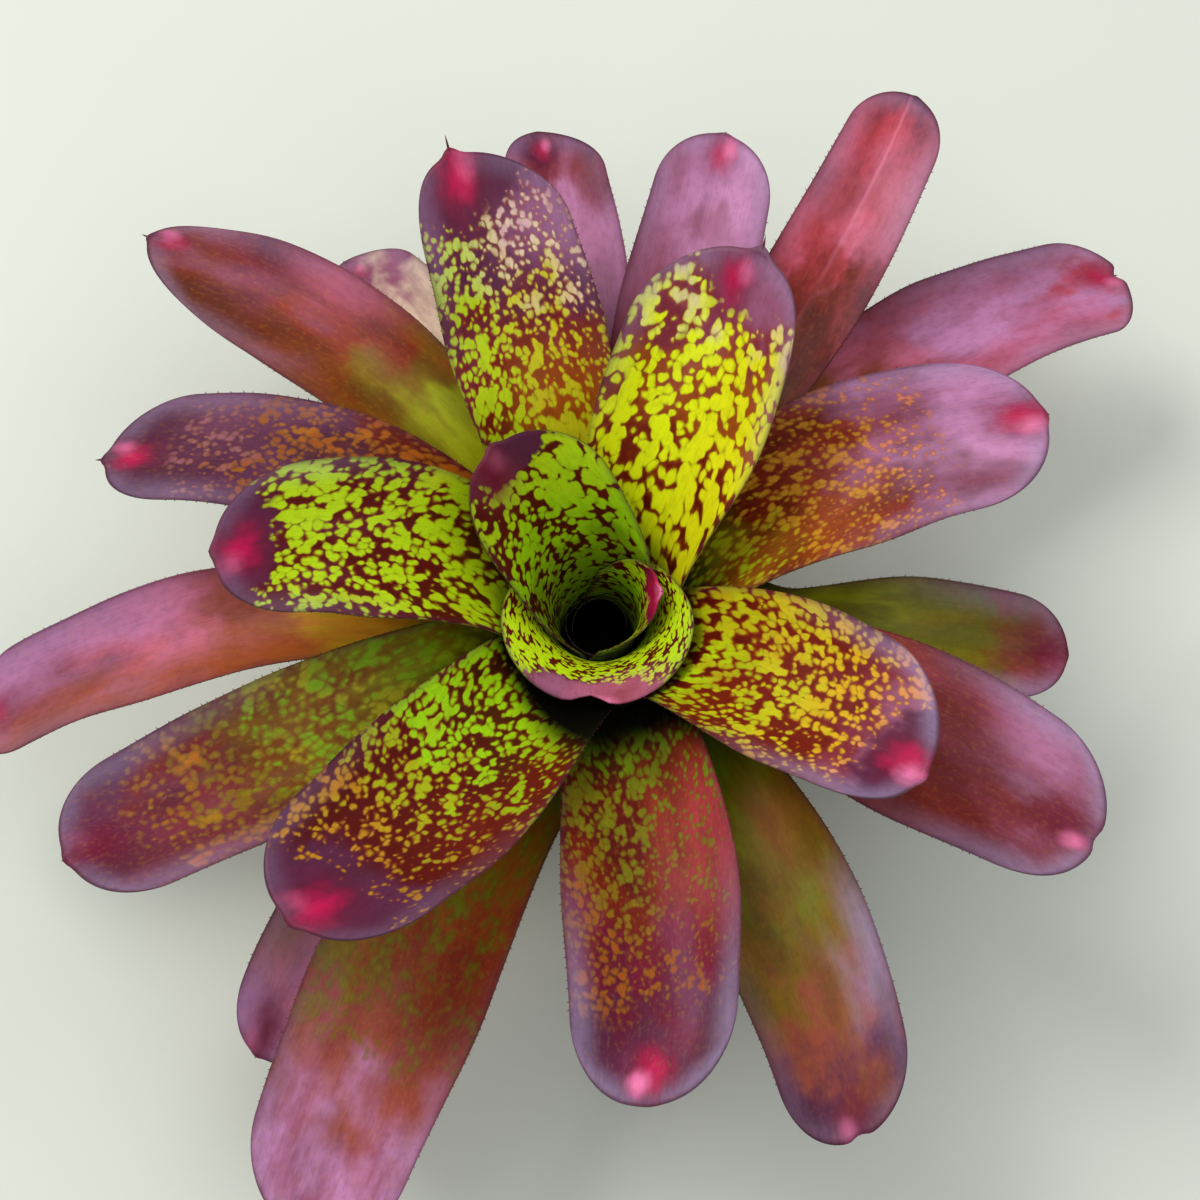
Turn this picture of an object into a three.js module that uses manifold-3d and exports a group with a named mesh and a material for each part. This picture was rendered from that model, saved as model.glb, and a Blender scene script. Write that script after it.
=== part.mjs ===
// Neoregelia bromeliad: strap leaves nested in a spiral round a short rooted stem, with a cup in the middle.
// Millimetres, +Z up. The origin is the middle of the stem's flat cut foot, which rests on the surface.
// Leaves are numbered from the heart outwards. Azimuths are degrees anticlockwise from +X, seen from above.
import * as THREE from 'three';
import { mergeVertices } from 'three/addons/utils/BufferGeometryUtils.js';
import Module from 'manifold-3d';

const wasm = await Module();
wasm.setup();

const DEGREE = Math.PI / 180;

// ---- Shells: each leaf follows one of a family of nested bells. Pairs are [innermost, outermost]. ----
const ATTACH_RADIUS = [6.5, 15.5]; // where the sheath leaves the stem
const ATTACH_HEIGHT = [52, 18];
const THROAT_RADIUS = [15, 55]; // where the bowl of the sheath turns upright
const HEART_THROAT_RADIUS = [8, 15]; // the same for the heart leaves, which stand apart from the others
const TUBE_LENGTH = 52; // the upright stretch of the innermost shell
const TUBE_FADE = 1.6; // how fast that stretch shortens outwards
const FLARE_LENGTH = [90, 135]; // the stretch over which a blade leans out
const BOWL_LEAN = 80 * DEGREE; // leans are measured from the vertical
const TUBE_LEAN = 4 * DEGREE;
const BLADE_LEAN = [4 * DEGREE, 112 * DEGREE];
const BLADE_LEAN_RISE = 0.55; // below 1, the lean grows fastest among the inner leaves

// ---- What the leaves share ----
const LEAF_THICKNESS = 0.9;
const MARGIN_THICKNESS = 0.7;
const SHEATH_FOOT_WIDTH = 40;
const SHEATH_FULL = 0.8; // share of the bowl where the sheath is at its widest
const NECK_START = 0.9; // share of the bowl where it begins to narrow
const NECK_RUN = 55;
const BLADE_START = 50; // past the bowl, the blade begins to widen again
const BLADE_FULL = 0.75; // share of the length where it has widened in full
const TAPER = 0.14; // share of the width that a leaf loses towards the tip
const TAPER_START = 0.65; // share of the length
const LEAN_RUN = 70; // past the bowl, a leaf's own lean comes in over this length
const BEND_RISE = 1.7; // above 1, a leaf's sideways bend lies mostly in its blade
const CHANNEL_START = 25; // past the throat, the blade begins to fold up along its middle
const CHANNEL_RUN = 80;
const TIP_CUP_RUN = 45;
const DROOP_RUN = 30;
const TIP_ROUNDNESS = 2.1; // exponent of the tip's superellipse
const TIP_START = 0.62; // share of the length from which rows begin to curve round the tip
const SPINE_LENGTH = 3; // the point at the tip
const SPINE_WIDTH = 0.12; // as a share of the half width
const GATHER_START = 0.5; // share of the length from which columns close up towards the margins and the apex
const GATHER_RUN = 0.4;
const BOWL_MARGIN = 6; // the closely set rows reach this far past the bowl
const BOWL_ROWS = 5;
const BLADE_ROWS = 7;
const HEART_LEAVES = 7; // these curl tightly and take more columns
const HEART_COLUMNS = 12;
const COLUMNS = 8;

// ---- The leaves, from the heart outwards ----
// length: along the middle, from the stem to the tip. width: of the blade. sheath: width at the throat.
// neck: narrowest width above the sheath. bend: sideways curve, in degrees. lean: extra lean of the blade.
// droop: extra lean at the very tip. channel: height of the margins over the middle of the blade.
// cup: how far the tip's corners turn down. apex: how far off the middle the point sits.
// notch: how deep the point is set back. blunt: length of the rounded end.
// Neck and blunt are shares of the width, apex of half the width.
const USUAL = {
  bend: 0, sheath: 84, neck: 0.8, lean: 0, droop: 0, channel: 8, cup: 4, apex: 0, notch: 0, blunt: 0.46,
};
const LEAVES = [
  { azimuth: 95, length: 34, width: 30, sheath: 38, neck: 1.1, channel: 0, cup: 0, notch: 3, blunt: 0.25 },
  { azimuth: 235, length: 42, width: 38, sheath: 46, neck: 1.1, channel: 0, cup: 0, notch: 3, blunt: 0.25 },
  { azimuth: 0, length: 84, width: 44, sheath: 56, neck: 1.1, channel: 0, cup: 0 },
  { azimuth: 122, length: 140, width: 60, sheath: 66, neck: 1.22, channel: 0, bend: 9, apex: 0.1 },
  { azimuth: 265, length: 99, width: 112, neck: 1, channel: 0, cup: 0, droop: 45, notch: 8, blunt: 0.1 },
  { azimuth: 58, length: 198, width: 70, sheath: 64, bend: 7, lean: 4, apex: -0.25 },
  { azimuth: 163, length: 204, width: 62, sheath: 66, bend: 18, lean: 6, channel: 5 },
  { azimuth: 328, length: 204, width: 66, bend: -1, lean: 4, apex: -0.3 },
  { azimuth: 240, length: 231, width: 70, bend: -9, lean: 4, apex: 0.1 },
  { azimuth: 107, length: 220, width: 61, apex: 0.3 },
  { azimuth: 30, length: 223, width: 64, bend: -13, apex: 0.15 },
  { azimuth: 282, length: 245, width: 64, bend: -7 },
  { azimuth: 210, length: 260, width: 56, sheath: 76, channel: 6 },
  { azimuth: 148, length: 227, width: 47, sheath: 66, bend: 17, channel: 4, apex: 0.15 },
  { azimuth: 73, length: 221, width: 49, bend: 2 },
  { azimuth: 336, length: 237, width: 65, bend: -3, channel: 5, apex: -0.1, notch: 4 },
  { azimuth: 54, length: 264, width: 42, sheath: 70, bend: 5, channel: 4, apex: -0.1 },
  { azimuth: 303, length: 249, width: 55, bend: -8, notch: 4 },
  { azimuth: 129, length: 255, width: 49, bend: 12, apex: -0.3, blunt: 1.25 },
  { azimuth: 242, length: 280, width: 65, bend: 3 },
  { azimuth: 94, length: 224, width: 43, bend: 2, apex: 0.2 },
  { azimuth: 354, length: 202, width: 43, bend: 1 },
  { azimuth: 179, length: 266, width: 43, bend: 10 },
  { azimuth: 44, length: 281, width: 49, bend: -9, apex: 0.2, notch: 5 },
  { azimuth: 227, length: 232, width: 42, bend: 6, apex: -0.2 },
  { azimuth: 119, length: 204, width: 40, bend: 5 },
];

// ---- Stem and roots ----
const FOOT_RADIUS = 16;
const STEM_TO_LEAF = 1; // the stem's skin stays this far inside the leaf bases
const STEM_TOP = 55;
const DOME_RADIUS = 0.6; // of the growing point's shoulder, as a share of the stem's top radius
const DOME_HEIGHT = 0.75; // of that shoulder, as a share of the dome
const FOOT_BEVEL = 1;
const LOWEST_SCAR = 2;
const SCAR_COUNT = 5; // rings left by fallen leaves, below the lowest leaf
const SCAR_DEPTH = 0.7;
const STEM_SIDES = 24;
const ROOT_COUNT = 9;
const ROOT_RADIUS = [1.8, 1];
const ROOT_SIDES = 6;
const ROOT_RINGS = 9;
const ROOT_REACH = [44, 58]; // shortest and longest, from the axis to the trimmed end
const ROOT_START_RADIUS = 9;
const ROOT_START_HEIGHT = 10;
const ROOT_LANDING = 0.55; // share of the way out where a root meets the surface
const ROOT_CLEARANCE = 0.05;
const ROOT_SWAY = 0.13; // sideways wander, in radians
const ROOT_SWAY_WAVE = 4; // the wander along a root, in radians of its wave
const ROOT_UNEVENNESS = 0.3; // of their spacing round the stem
const ROOT_SPACING_STEP = 5; // radians from one root to the next of the wave that sets the spacing
const ROOT_REACH_STEP = 2.3; // and of the wave that sets the reach
const WELD_DISTANCE = 1e-4; // corners closer than this are joined into one

// ---- Finishes ----
const FINISHES = {
  heart: { color: 0x5c8a1c, roughness: 0.45 },
  young: { color: 0x93b52a, roughness: 0.4 },
  flecked: { color: 0x6b2f35, roughness: 0.4 },
  outer: { color: 0x83505c, roughness: 0.42 },
  stem: { color: 0x6e5a3c, roughness: 0.85 },
};
const LAST_HEART_LEAF = 5;
const LAST_YOUNG_LEAF = 10;
const LAST_FLECKED_LEAF = 14;

function blend([from, to], share) {
  return from + (to - from) * share;
}

function smooth(x) {
  const t = THREE.MathUtils.clamp(x, 0, 1);
  return t * t * (3 - 2 * t);
}

// ---- The bell that shell `order` follows ----
function shellOf(order) {
  const share = order / (LEAVES.length - 1);
  const attachRadius = blend(ATTACH_RADIUS, share);
  const throatRadius = order < LAST_HEART_LEAF
    ? blend(HEART_THROAT_RADIUS, order / (LAST_HEART_LEAF - 1))
    : blend(THROAT_RADIUS, share);
  const turn = BOWL_LEAN - TUBE_LEAN;
  const reach = (Math.cos(TUBE_LEAN) - Math.cos(BOWL_LEAN)) / turn; // how far out each mm of the bowl gets
  return {
    attachRadius,
    attachHeight: blend(ATTACH_HEIGHT, share),
    bowl: (throatRadius - attachRadius) / reach,
    tube: TUBE_LENGTH * (1 - share) ** TUBE_FADE,
    flare: blend(FLARE_LENGTH, share),
    bladeLean: blend(BLADE_LEAN, share ** BLADE_LEAN_RISE),
  };
}

// Lean from the vertical, `s` mm along the leaf.
function leanAt(leaf, shell, s) {
  const bowlShare = Math.min(s / shell.bowl, 1);
  const flareShare = THREE.MathUtils.clamp((s - shell.bowl - shell.tube) / shell.flare, 0, 1);
  const eased = 1 - (1 - flareShare) ** 2;
  const shared = blend([BOWL_LEAN, TUBE_LEAN], bowlShare) + (shell.bladeLean - TUBE_LEAN) * eased;
  const lean = leaf.lean * smooth((s - shell.bowl) / LEAN_RUN);
  const droop = leaf.droop * smooth((s - leaf.length) / DROOP_RUN + 1);
  return shared + (lean + droop) * DEGREE;
}

// The leaf's middle line, one entry for each mm: distance from the axis, height and lean.
function middleLine(leaf, shell) {
  let radius = shell.attachRadius;
  let height = shell.attachHeight;
  const line = [];
  for (let s = 0; s <= leaf.length + 2 * SPINE_LENGTH; s += 1) {
    line.push({ radius, height, lean: leanAt(leaf, shell, s) });
    const lean = leanAt(leaf, shell, s + 0.5);
    radius += Math.sin(lean);
    height += Math.cos(lean);
  }
  return line;
}

function pointOnLine(line, s) {
  const place = THREE.MathUtils.clamp(s, 0, line.length - 1.001);
  const index = Math.floor(place);
  const share = place - index;
  const near = line[index];
  const far = line[index + 1];
  return {
    radius: blend([near.radius, far.radius], share),
    height: blend([near.height, far.height], share),
    lean: blend([near.lean, far.lean], share),
  };
}

function widthAt(leaf, shell, s) {
  const neck = leaf.neck * leaf.width;
  const sheath = blend([SHEATH_FOOT_WIDTH, leaf.sheath], smooth(s / shell.bowl / SHEATH_FULL));
  const necked = blend([sheath, neck], smooth((s - NECK_START * shell.bowl) / NECK_RUN));
  const bladeStart = shell.bowl + BLADE_START;
  const widened = (leaf.width - neck) * smooth((s - bladeStart) / (BLADE_FULL * leaf.length - bladeStart));
  const taper = TAPER * smooth((s / leaf.length - TAPER_START) / (1 - TAPER_START));
  return (necked + widened) * (1 - taper);
}

// Distances of the rows along the leaf: close together round the bowl, then even to the tip.
function rowDistances(leaf, shell) {
  const bowlEnd = shell.bowl + BOWL_MARGIN;
  const distances = [];
  for (let row = 0; row < BOWL_ROWS; row += 1) {
    distances.push(bowlEnd * row / BOWL_ROWS);
  }
  for (let row = 0; row <= BLADE_ROWS; row += 1) {
    distances.push(blend([bowlEnd, leaf.length], row / BLADE_ROWS));
  }
  return distances;
}

// The point that stands `offset` mm off the shell, towards the axis and up.
function pointOff({ radius, height, lean }, angle, offset) {
  const distance = radius - Math.cos(lean) * offset;
  return new THREE.Vector3(
    distance * Math.cos(angle),
    distance * Math.sin(angle),
    height + Math.sin(lean) * offset,
  );
}

// Grid of the leaf's points, each a pair: one on the lower face and one on the upper.
function leafGrid(leaf, shell, columns) {
  const line = middleLine(leaf, shell);
  return rowDistances(leaf, shell).map((distance) => {
    const along = distance / leaf.length;
    const tipShare = smooth((along - GATHER_START) / GATHER_RUN);
    const row = [];
    for (let column = 0; column <= columns; column += 1) {
      // Columns are even across the sheath and gathered at the margins and the apex near the tip.
      const even = 2 * column / columns - 1;
      const wave = Math.sin(even * Math.PI / 2);
      const across = even + tipShare * ((wave + leaf.apex) / (1 + leaf.apex * wave) - even);
      const fromApex = Math.min(Math.abs((across - leaf.apex) / (1 - leaf.apex * across)), 1);
      // The rounded end, and the point on it.
      const roundness = 1 - (1 - fromApex ** TIP_ROUNDNESS) ** (1 / TIP_ROUNDNESS);
      const setBack = leaf.blunt * leaf.width * roundness;
      const spine = along >= 1 ? (SPINE_LENGTH - leaf.notch) * Math.exp(-((fromApex / SPINE_WIDTH) ** 2)) : 0;
      const s = distance - setBack * smooth((along - TIP_START) / (1 - TIP_START)) + spine;
      const spot = pointOnLine(line, s);
      // The margins rise over the middle, and the tip's corners turn down again.
      const fold = leaf.channel * smooth((s - shell.bowl - CHANNEL_START) / CHANNEL_RUN);
      const cup = leaf.cup * smooth((s - leaf.length + TIP_CUP_RUN) / TIP_CUP_RUN);
      const rise = (fold - cup) * across ** 2;
      const bendShare = Math.max((s - shell.bowl) / (leaf.length - shell.bowl), 0) ** BEND_RISE;
      const sideways = across * widthAt(leaf, shell, s) / 2;
      const angle = (leaf.azimuth + leaf.bend * bendShare) * DEGREE + sideways / spot.radius;
      const thickness = MARGIN_THICKNESS + (LEAF_THICKNESS - MARGIN_THICKNESS) * (1 - across ** 4);
      row.push([-0.5, 0.5].map((side) => pointOff(spot, angle, rise + side * thickness)));
    }
    return row;
  });
}

// A closed blade: a lower and an upper face and a strip round the edge. Both faces of a cell are split alike,
// along the shorter diagonal.
function leafGeometry(leaf, order) {
  const shell = shellOf(order);
  const columns = order < HEART_LEAVES ? HEART_COLUMNS : COLUMNS;
  const grid = leafGrid(leaf, shell, columns);
  const rowSize = columns + 1;
  const faceSize = grid.length * rowSize;
  const lower = grid.flat().map((pair) => pair[0]);
  const upper = grid.flat().map((pair) => pair[1]);

  const indices = [];
  for (let row = 0; row < grid.length - 1; row += 1) {
    for (let column = 0; column < columns; column += 1) {
      const a = row * rowSize + column;
      const b = a + 1;
      const c = b + rowSize;
      const d = a + rowSize;
      const split = lower[a].distanceTo(lower[c]) < lower[b].distanceTo(lower[d])
        ? [[a, b, c], [a, c, d]]
        : [[a, b, d], [b, c, d]];
      for (const [i, j, k] of split) {
        indices.push(i, j, k, i + faceSize, k + faceSize, j + faceSize);
      }
    }
  }

  const edge = edgeLoop(grid.length, rowSize);
  edge.forEach((here, index) => {
    const next = edge[(index + 1) % edge.length];
    indices.push(here, next + faceSize, next, here, here + faceSize, next + faceSize);
  });

  const geometry = new THREE.BufferGeometry();
  geometry.setFromPoints([...lower, ...upper]);
  geometry.setIndex(indices);
  return geometry;
}

// Grid indices once round the edge: foot, right margin, tip, left margin.
function edgeLoop(rows, rowSize) {
  const loop = [];
  for (let column = 0; column < rowSize; column += 1) {
    loop.push(column);
  }
  for (let row = 1; row < rows; row += 1) {
    loop.push(row * rowSize + rowSize - 1);
  }
  for (let column = rowSize - 2; column >= 0; column -= 1) {
    loop.push((rows - 1) * rowSize + column);
  }
  for (let row = rows - 2; row > 0; row -= 1) {
    loop.push(row * rowSize);
  }
  return loop;
}

// ---- Stem: a cone inside the leaf bases, with ringed scars below them and a domed growing point on top ----
function stemRadiusAt(height) {
  const [highestLeaf, lowestLeaf] = ATTACH_HEIGHT;
  const share = (height - highestLeaf) / (lowestLeaf - highestLeaf);
  return blend(ATTACH_RADIUS, Math.min(share, 1)) - STEM_TO_LEAF;
}

function stemGeometry() {
  const [highestLeaf, lowestLeaf] = ATTACH_HEIGHT;
  const topRadius = stemRadiusAt(highestLeaf);
  const profile = [new THREE.Vector2(0, 0), new THREE.Vector2(FOOT_RADIUS - FOOT_BEVEL, 0)];
  profile.push(new THREE.Vector2(FOOT_RADIUS, FOOT_BEVEL));
  const scarPitch = (lowestLeaf - LOWEST_SCAR) / SCAR_COUNT;
  for (let scar = 0; scar < SCAR_COUNT; scar += 1) {
    const height = LOWEST_SCAR + scar * scarPitch;
    profile.push(new THREE.Vector2(stemRadiusAt(height) - SCAR_DEPTH, height));
    profile.push(new THREE.Vector2(stemRadiusAt(height) + SCAR_DEPTH / 2, height + scarPitch / 2));
  }
  profile.push(new THREE.Vector2(stemRadiusAt(lowestLeaf), lowestLeaf));
  profile.push(new THREE.Vector2(topRadius, highestLeaf));
  profile.push(new THREE.Vector2(topRadius * DOME_RADIUS, blend([highestLeaf, STEM_TOP], DOME_HEIGHT)));
  profile.push(new THREE.Vector2(0, STEM_TOP));
  const lathe = new THREE.LatheGeometry(profile, STEM_SIDES);
  lathe.rotateX(Math.PI / 2);
  return lathe;
}

// ---- Roots: tapered tubes that arch out of the stem and then lie along the surface ----
function rootPath(order) {
  const place = order + ROOT_UNEVENNESS * Math.sin(ROOT_SPACING_STEP * order);
  const azimuth = 2 * Math.PI * place / ROOT_COUNT;
  const reach = blend(ROOT_REACH, (1 + Math.sin(ROOT_REACH_STEP * order)) / 2);
  const path = [];
  for (let ring = 0; ring < ROOT_RINGS; ring += 1) {
    const share = ring / (ROOT_RINGS - 1);
    const radius = blend([ROOT_START_RADIUS, reach], share);
    const thickness = blend(ROOT_RADIUS, share);
    const lift = (1 - smooth(share / ROOT_LANDING)) * ROOT_START_HEIGHT;
    const angle = azimuth + ROOT_SWAY * Math.sin(ROOT_SWAY_WAVE * share + order) * share;
    const height = lift + thickness + ROOT_CLEARANCE;
    const centre = new THREE.Vector3(radius * Math.cos(angle), radius * Math.sin(angle), height);
    path.push({ centre, thickness });
  }
  return path;
}

function rootGeometry(order) {
  const path = rootPath(order);
  const positions = [];
  path.forEach(({ centre, thickness }, ring) => {
    const before = path[Math.max(ring - 1, 0)].centre;
    const after = path[Math.min(ring + 1, path.length - 1)].centre;
    const forward = after.clone().sub(before).normalize();
    const sideways = new THREE.Vector3(0, 0, 1).cross(forward).normalize();
    const upward = forward.clone().cross(sideways);
    for (let side = 0; side < ROOT_SIDES; side += 1) {
      const angle = 2 * Math.PI * side / ROOT_SIDES;
      const point = centre.clone();
      point.addScaledVector(sideways, thickness * Math.cos(angle));
      point.addScaledVector(upward, thickness * Math.sin(angle));
      positions.push(...point.toArray());
    }
  });
  const startHub = positions.length / 3;
  positions.push(...path[0].centre.toArray(), ...path[path.length - 1].centre.toArray());

  const indices = [];
  const lastRing = (ROOT_RINGS - 1) * ROOT_SIDES;
  for (let side = 0; side < ROOT_SIDES; side += 1) {
    const next = (side + 1) % ROOT_SIDES;
    for (let ring = 0; ring < ROOT_RINGS - 1; ring += 1) {
      const near = ring * ROOT_SIDES;
      const far = near + ROOT_SIDES;
      indices.push(near + side, near + next, far + next, near + side, far + next, far + side);
    }
    indices.push(startHub, next, side);
    indices.push(startHub + 1, lastRing + side, lastRing + next);
  }
  const geometry = new THREE.BufferGeometry();
  geometry.setAttribute('position', new THREE.Float32BufferAttribute(positions, 3));
  geometry.setIndex(indices);
  return geometry;
}

// ---- Joining closed meshes into one solid ----
function toSolid(geometry) {
  const bare = geometry.clone();
  bare.deleteAttribute('normal');
  bare.deleteAttribute('uv');
  const merged = mergeVertices(bare, WELD_DISTANCE);
  const vertProperties = new Float32Array(merged.attributes.position.array);
  const triVerts = new Uint32Array(merged.index.array);
  return new wasm.Manifold(new wasm.Mesh({ numProp: 3, vertProperties, triVerts }));
}

function toGeometry(solid) {
  const { vertProperties, triVerts } = solid.getMesh();
  const geometry = new THREE.BufferGeometry();
  geometry.setAttribute('position', new THREE.BufferAttribute(vertProperties, 3));
  geometry.setIndex(new THREE.BufferAttribute(triVerts, 1));
  return geometry;
}

function rootedStemGeometry() {
  let solid = toSolid(stemGeometry());
  for (let order = 0; order < ROOT_COUNT; order += 1) {
    solid = solid.add(toSolid(rootGeometry(order)));
  }
  return toGeometry(solid);
}

// ---- Assembly ----
function finishOf(number) {
  if (number <= LAST_HEART_LEAF) {
    return FINISHES.heart;
  }
  if (number <= LAST_YOUNG_LEAF) {
    return FINISHES.young;
  }
  if (number <= LAST_FLECKED_LEAF) {
    return FINISHES.flecked;
  }
  return FINISHES.outer;
}

function namedMesh(name, geometry, finish) {
  geometry.computeVertexNormals();
  const material = new THREE.MeshStandardMaterial({ ...finish, metalness: 0 });
  const mesh = new THREE.Mesh(geometry, material);
  mesh.name = name;
  return mesh;
}

const bromeliad = new THREE.Group();
bromeliad.add(namedMesh('stem', rootedStemGeometry(), FINISHES.stem));
LEAVES.forEach((ownSizes, order) => {
  const number = order + 1;
  const leaf = { ...USUAL, ...ownSizes };
  const name = `leaf_${String(number).padStart(2, '0')}`;
  bromeliad.add(namedMesh(name, leafGeometry(leaf, order), finishOf(number)));
});

export default bromeliad;
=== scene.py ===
"""Neoregelia bromeliad: fine leaves with blotched satin skins, nested round a short fibrous stem.

Shapes are worked out in millimetres and turned into metres when a mesh is made. Leaves are numbered from
the heart outwards. Each follows the same nested bells as its solid, with a finer grid, a wavy margin, a
pinched tip with its spine, and small teeth along both margins.
"""

import math
from types import SimpleNamespace

import bpy
import numpy as np
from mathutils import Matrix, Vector


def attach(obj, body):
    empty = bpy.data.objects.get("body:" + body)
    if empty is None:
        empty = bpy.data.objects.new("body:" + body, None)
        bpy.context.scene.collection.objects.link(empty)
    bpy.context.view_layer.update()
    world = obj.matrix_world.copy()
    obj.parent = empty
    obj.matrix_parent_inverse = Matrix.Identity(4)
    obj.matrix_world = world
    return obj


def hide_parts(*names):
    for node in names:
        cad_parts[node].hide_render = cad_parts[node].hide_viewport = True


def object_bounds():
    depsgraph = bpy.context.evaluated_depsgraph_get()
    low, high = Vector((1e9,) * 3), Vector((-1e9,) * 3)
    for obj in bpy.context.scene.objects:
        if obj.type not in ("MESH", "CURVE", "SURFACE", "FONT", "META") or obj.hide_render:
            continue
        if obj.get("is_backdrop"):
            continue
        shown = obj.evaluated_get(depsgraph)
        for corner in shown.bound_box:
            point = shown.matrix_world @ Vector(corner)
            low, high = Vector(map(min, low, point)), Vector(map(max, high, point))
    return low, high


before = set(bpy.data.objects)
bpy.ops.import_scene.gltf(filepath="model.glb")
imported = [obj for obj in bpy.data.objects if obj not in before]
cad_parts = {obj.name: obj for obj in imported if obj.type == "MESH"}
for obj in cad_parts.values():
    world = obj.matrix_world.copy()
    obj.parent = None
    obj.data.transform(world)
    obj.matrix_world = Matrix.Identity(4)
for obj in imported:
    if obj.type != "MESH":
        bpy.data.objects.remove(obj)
cad_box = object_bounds()

MM = 0.001
SEED = 7
UV_MAP = "OFBake"

# ---- Shells: each leaf follows one of a family of nested bells. Pairs: (innermost, outermost), in mm ----
ATTACH_RADIUS = (6.5, 15.5)
ATTACH_HEIGHT = (52, 18)
THROAT_RADIUS = (15, 55)
HEART_THROAT_RADIUS = (8, 15)
TUBE_LENGTH = 52
TUBE_FADE = 1.6
FLARE_LENGTH = (90, 135)
BOWL_LEAN = math.radians(80)
TUBE_LEAN = math.radians(4)
BLADE_LEAN = (math.radians(4), math.radians(112))
BLADE_LEAN_RISE = 0.55

# ---- What the leaves share, in mm where it is a length ----
LEAF_THICKNESS = 0.9
MARGIN_THICKNESS = 0.7
SHEATH_FOOT_WIDTH = 40
SHEATH_FULL = 0.8
NECK_START = 0.9
NECK_RUN = 55
BLADE_START = 50
BLADE_FULL = 0.75
TAPER = 0.14
TAPER_START = 0.65
LEAN_RUN = 70
BEND_RISE = 1.7
CHANNEL_START = 25
CHANNEL_RUN = 80
TIP_CUP_RUN = 45
DROOP_RUN = 30
TIP_ROUNDNESS = 2.1
TIP_START = 0.62
GATHER_START = 0.5
GATHER_RUN = 0.4
BOWL_MARGIN = 6
BOWL_ROWS = 24
BLADE_ROWS = 78
COLUMNS = 44

# ---- Finer form that the solids leave out ----
CUSP_REACH = 3
CUSP_WIDTH = 0.12
CUSP_RUN = 8
PINCH_DEPTH = 1.7
PINCH_WIDTH = 0.13
PINCH_RIDGE_WIDTH = 0.32
PINCH_RIDGE_SHARE = 0.7
PINCH_RUN = 20
WAVE_HEIGHT = 0.55
LONG_WAVE = SimpleNamespace(length=61, shift=2.1, slant=1.3)  # shift: from leaf to leaf, in radians
SHORT_WAVE = SimpleNamespace(length=34, shift=3.7, slant=-0.9)
SHORT_WAVE_SHARE = 0.6
WAVE_IN_MIDDLE = 0.35
WAVE_START = 75
WAVE_RUN = 60
KEEL_DEPTH = 0.5
KEEL_WIDTH = 0.07
SPINE_LENGTH = 4.5
SPINE_RADIUS = 0.55
SPINE_RINGS = 6
SPINE_SIDES = 8
SPINE_TAPER = 0.7
SPINE_ROOT = 1.2
SPINE_HOOK = 0.25
TOOTH_START = 8
TOOTH_END = 2
TOOTH_PITCH = 3.6
TOOTH_LENGTH = 0.9
TOOTH_WIDTH = 0.7
TOOTH_ROOT = 0.35
TOOTH_LEAN = 0.7
TOOTH_LENGTHS = (0.6, 1.15)  # shortest and longest, as shares of TOOTH_LENGTH
TOOTH_GAPS = (0.6, 1.4)

# ---- How the skin is painted. An edge says where something starts and where it is full ----
BLADE_STRETCH = 1.3
FACE_UV = (0.48, 0.97)  # what one face of a leaf takes of the texture square
UV_MARGIN = 0.01
PATTERN_SHIFT = (53.7, 17)  # in mm, from leaf to leaf and from face to face, so that no pattern comes twice


def noise_of(across, along, detail=2.0, roughness=0.5, edge=None):
    """A noise on the leaves: its size in mm, how fine it is, and its edge if it is cut at one."""
    return SimpleNamespace(**locals())


GRAINS = {
    "drift": noise_of(16, 16, 3.0),
    "cloud": noise_of(11, 26, 4.0, 0.6, edge=(0.4, 0.65)),
    "tint_drift": noise_of(12, 30),
    "tip_drift": noise_of(6, 8),
    "ageing": noise_of(13, 20),
    "broad": noise_of(19, 32, 1.5),
    "fibres": noise_of(0.55, 16, 3.0),
    "mottle": noise_of(2.4, 3, 3.0, 0.6, edge=(0.4, 0.75)),
    "spots": noise_of(1.5, 2.0, edge=(0.48, 0.8)),
    "scurf": noise_of(0.9, 7, 3.0, edge=(0.35, 0.65)),
    "gloss": noise_of(7, 12, 3.0),
}
GROUND_DRIFT = 0.16
TINT_DRIFT = 0.5
TINT_EDGE = (-0.3, 0.5)
TINT_RUN = 0.15
PLAIN_DRIFT = 0.3
PLAIN_EDGE = (0.8, 1.15)  # as shares of tip_reach
LEAST_EDGE = 0.1  # in mm, so that the edge has a width where tip_reach is 0
CROWDS = SimpleNamespace(across=4, along=5, strength=0.3)  # of blotches, in blotch sizes
BLOTCH_WARP = SimpleNamespace(across=0.8, strength=0.2)
ISLANDS = SimpleNamespace(across=1.3, along=1.6)
ISLAND_WEIGHT = 3.5
DOT_WEIGHT = 5
DOT_SPACING = 0.58
DOT_MIDDLE = 0.41
DOT_MERGING = 0.3
COVER_WEIGHT = 3.4
COVERED_EDGE = (0.0, 0.08)
OFF_TIP_EDGE = (0.3, 0.9)
TIP_THINNING = 0.5
BORDER_EDGE = (0.0, 1.1)  # of a blotch, where it turns olive
BORDER_STRENGTH = 0.4
HALO_EDGE = (-1.4, 0.1)
HALO_STRENGTH = 0.5
AGED_EDGE = (0.62, 0.8)
AGED_SHIFT = 0.3
ASIDE_EDGE = (-0.2, 0.6)
BLOTCH_SHELTER = 0.7  # how far a blotch is spared by shade and painted sheen
SHADE_EDGE = (0.36, 0.54)
BLOOM_EDGE = (0.5, 0.68)
BLOOM_ALONG = (0.55, 0.85)
MIDLINE_REACH = 0.06
MIDLINE_ALONG = (0.65, 0.85)
RIM_EDGE = (1.0, 12)
RIM_ALONG = (0.6, 0.9)
MARGIN_COATS = [(0.4, 3.5, 0.3, "plum"), (0.2, 1.2, 0.4, "dark")]  # from and to in mm, strength, colour
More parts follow.
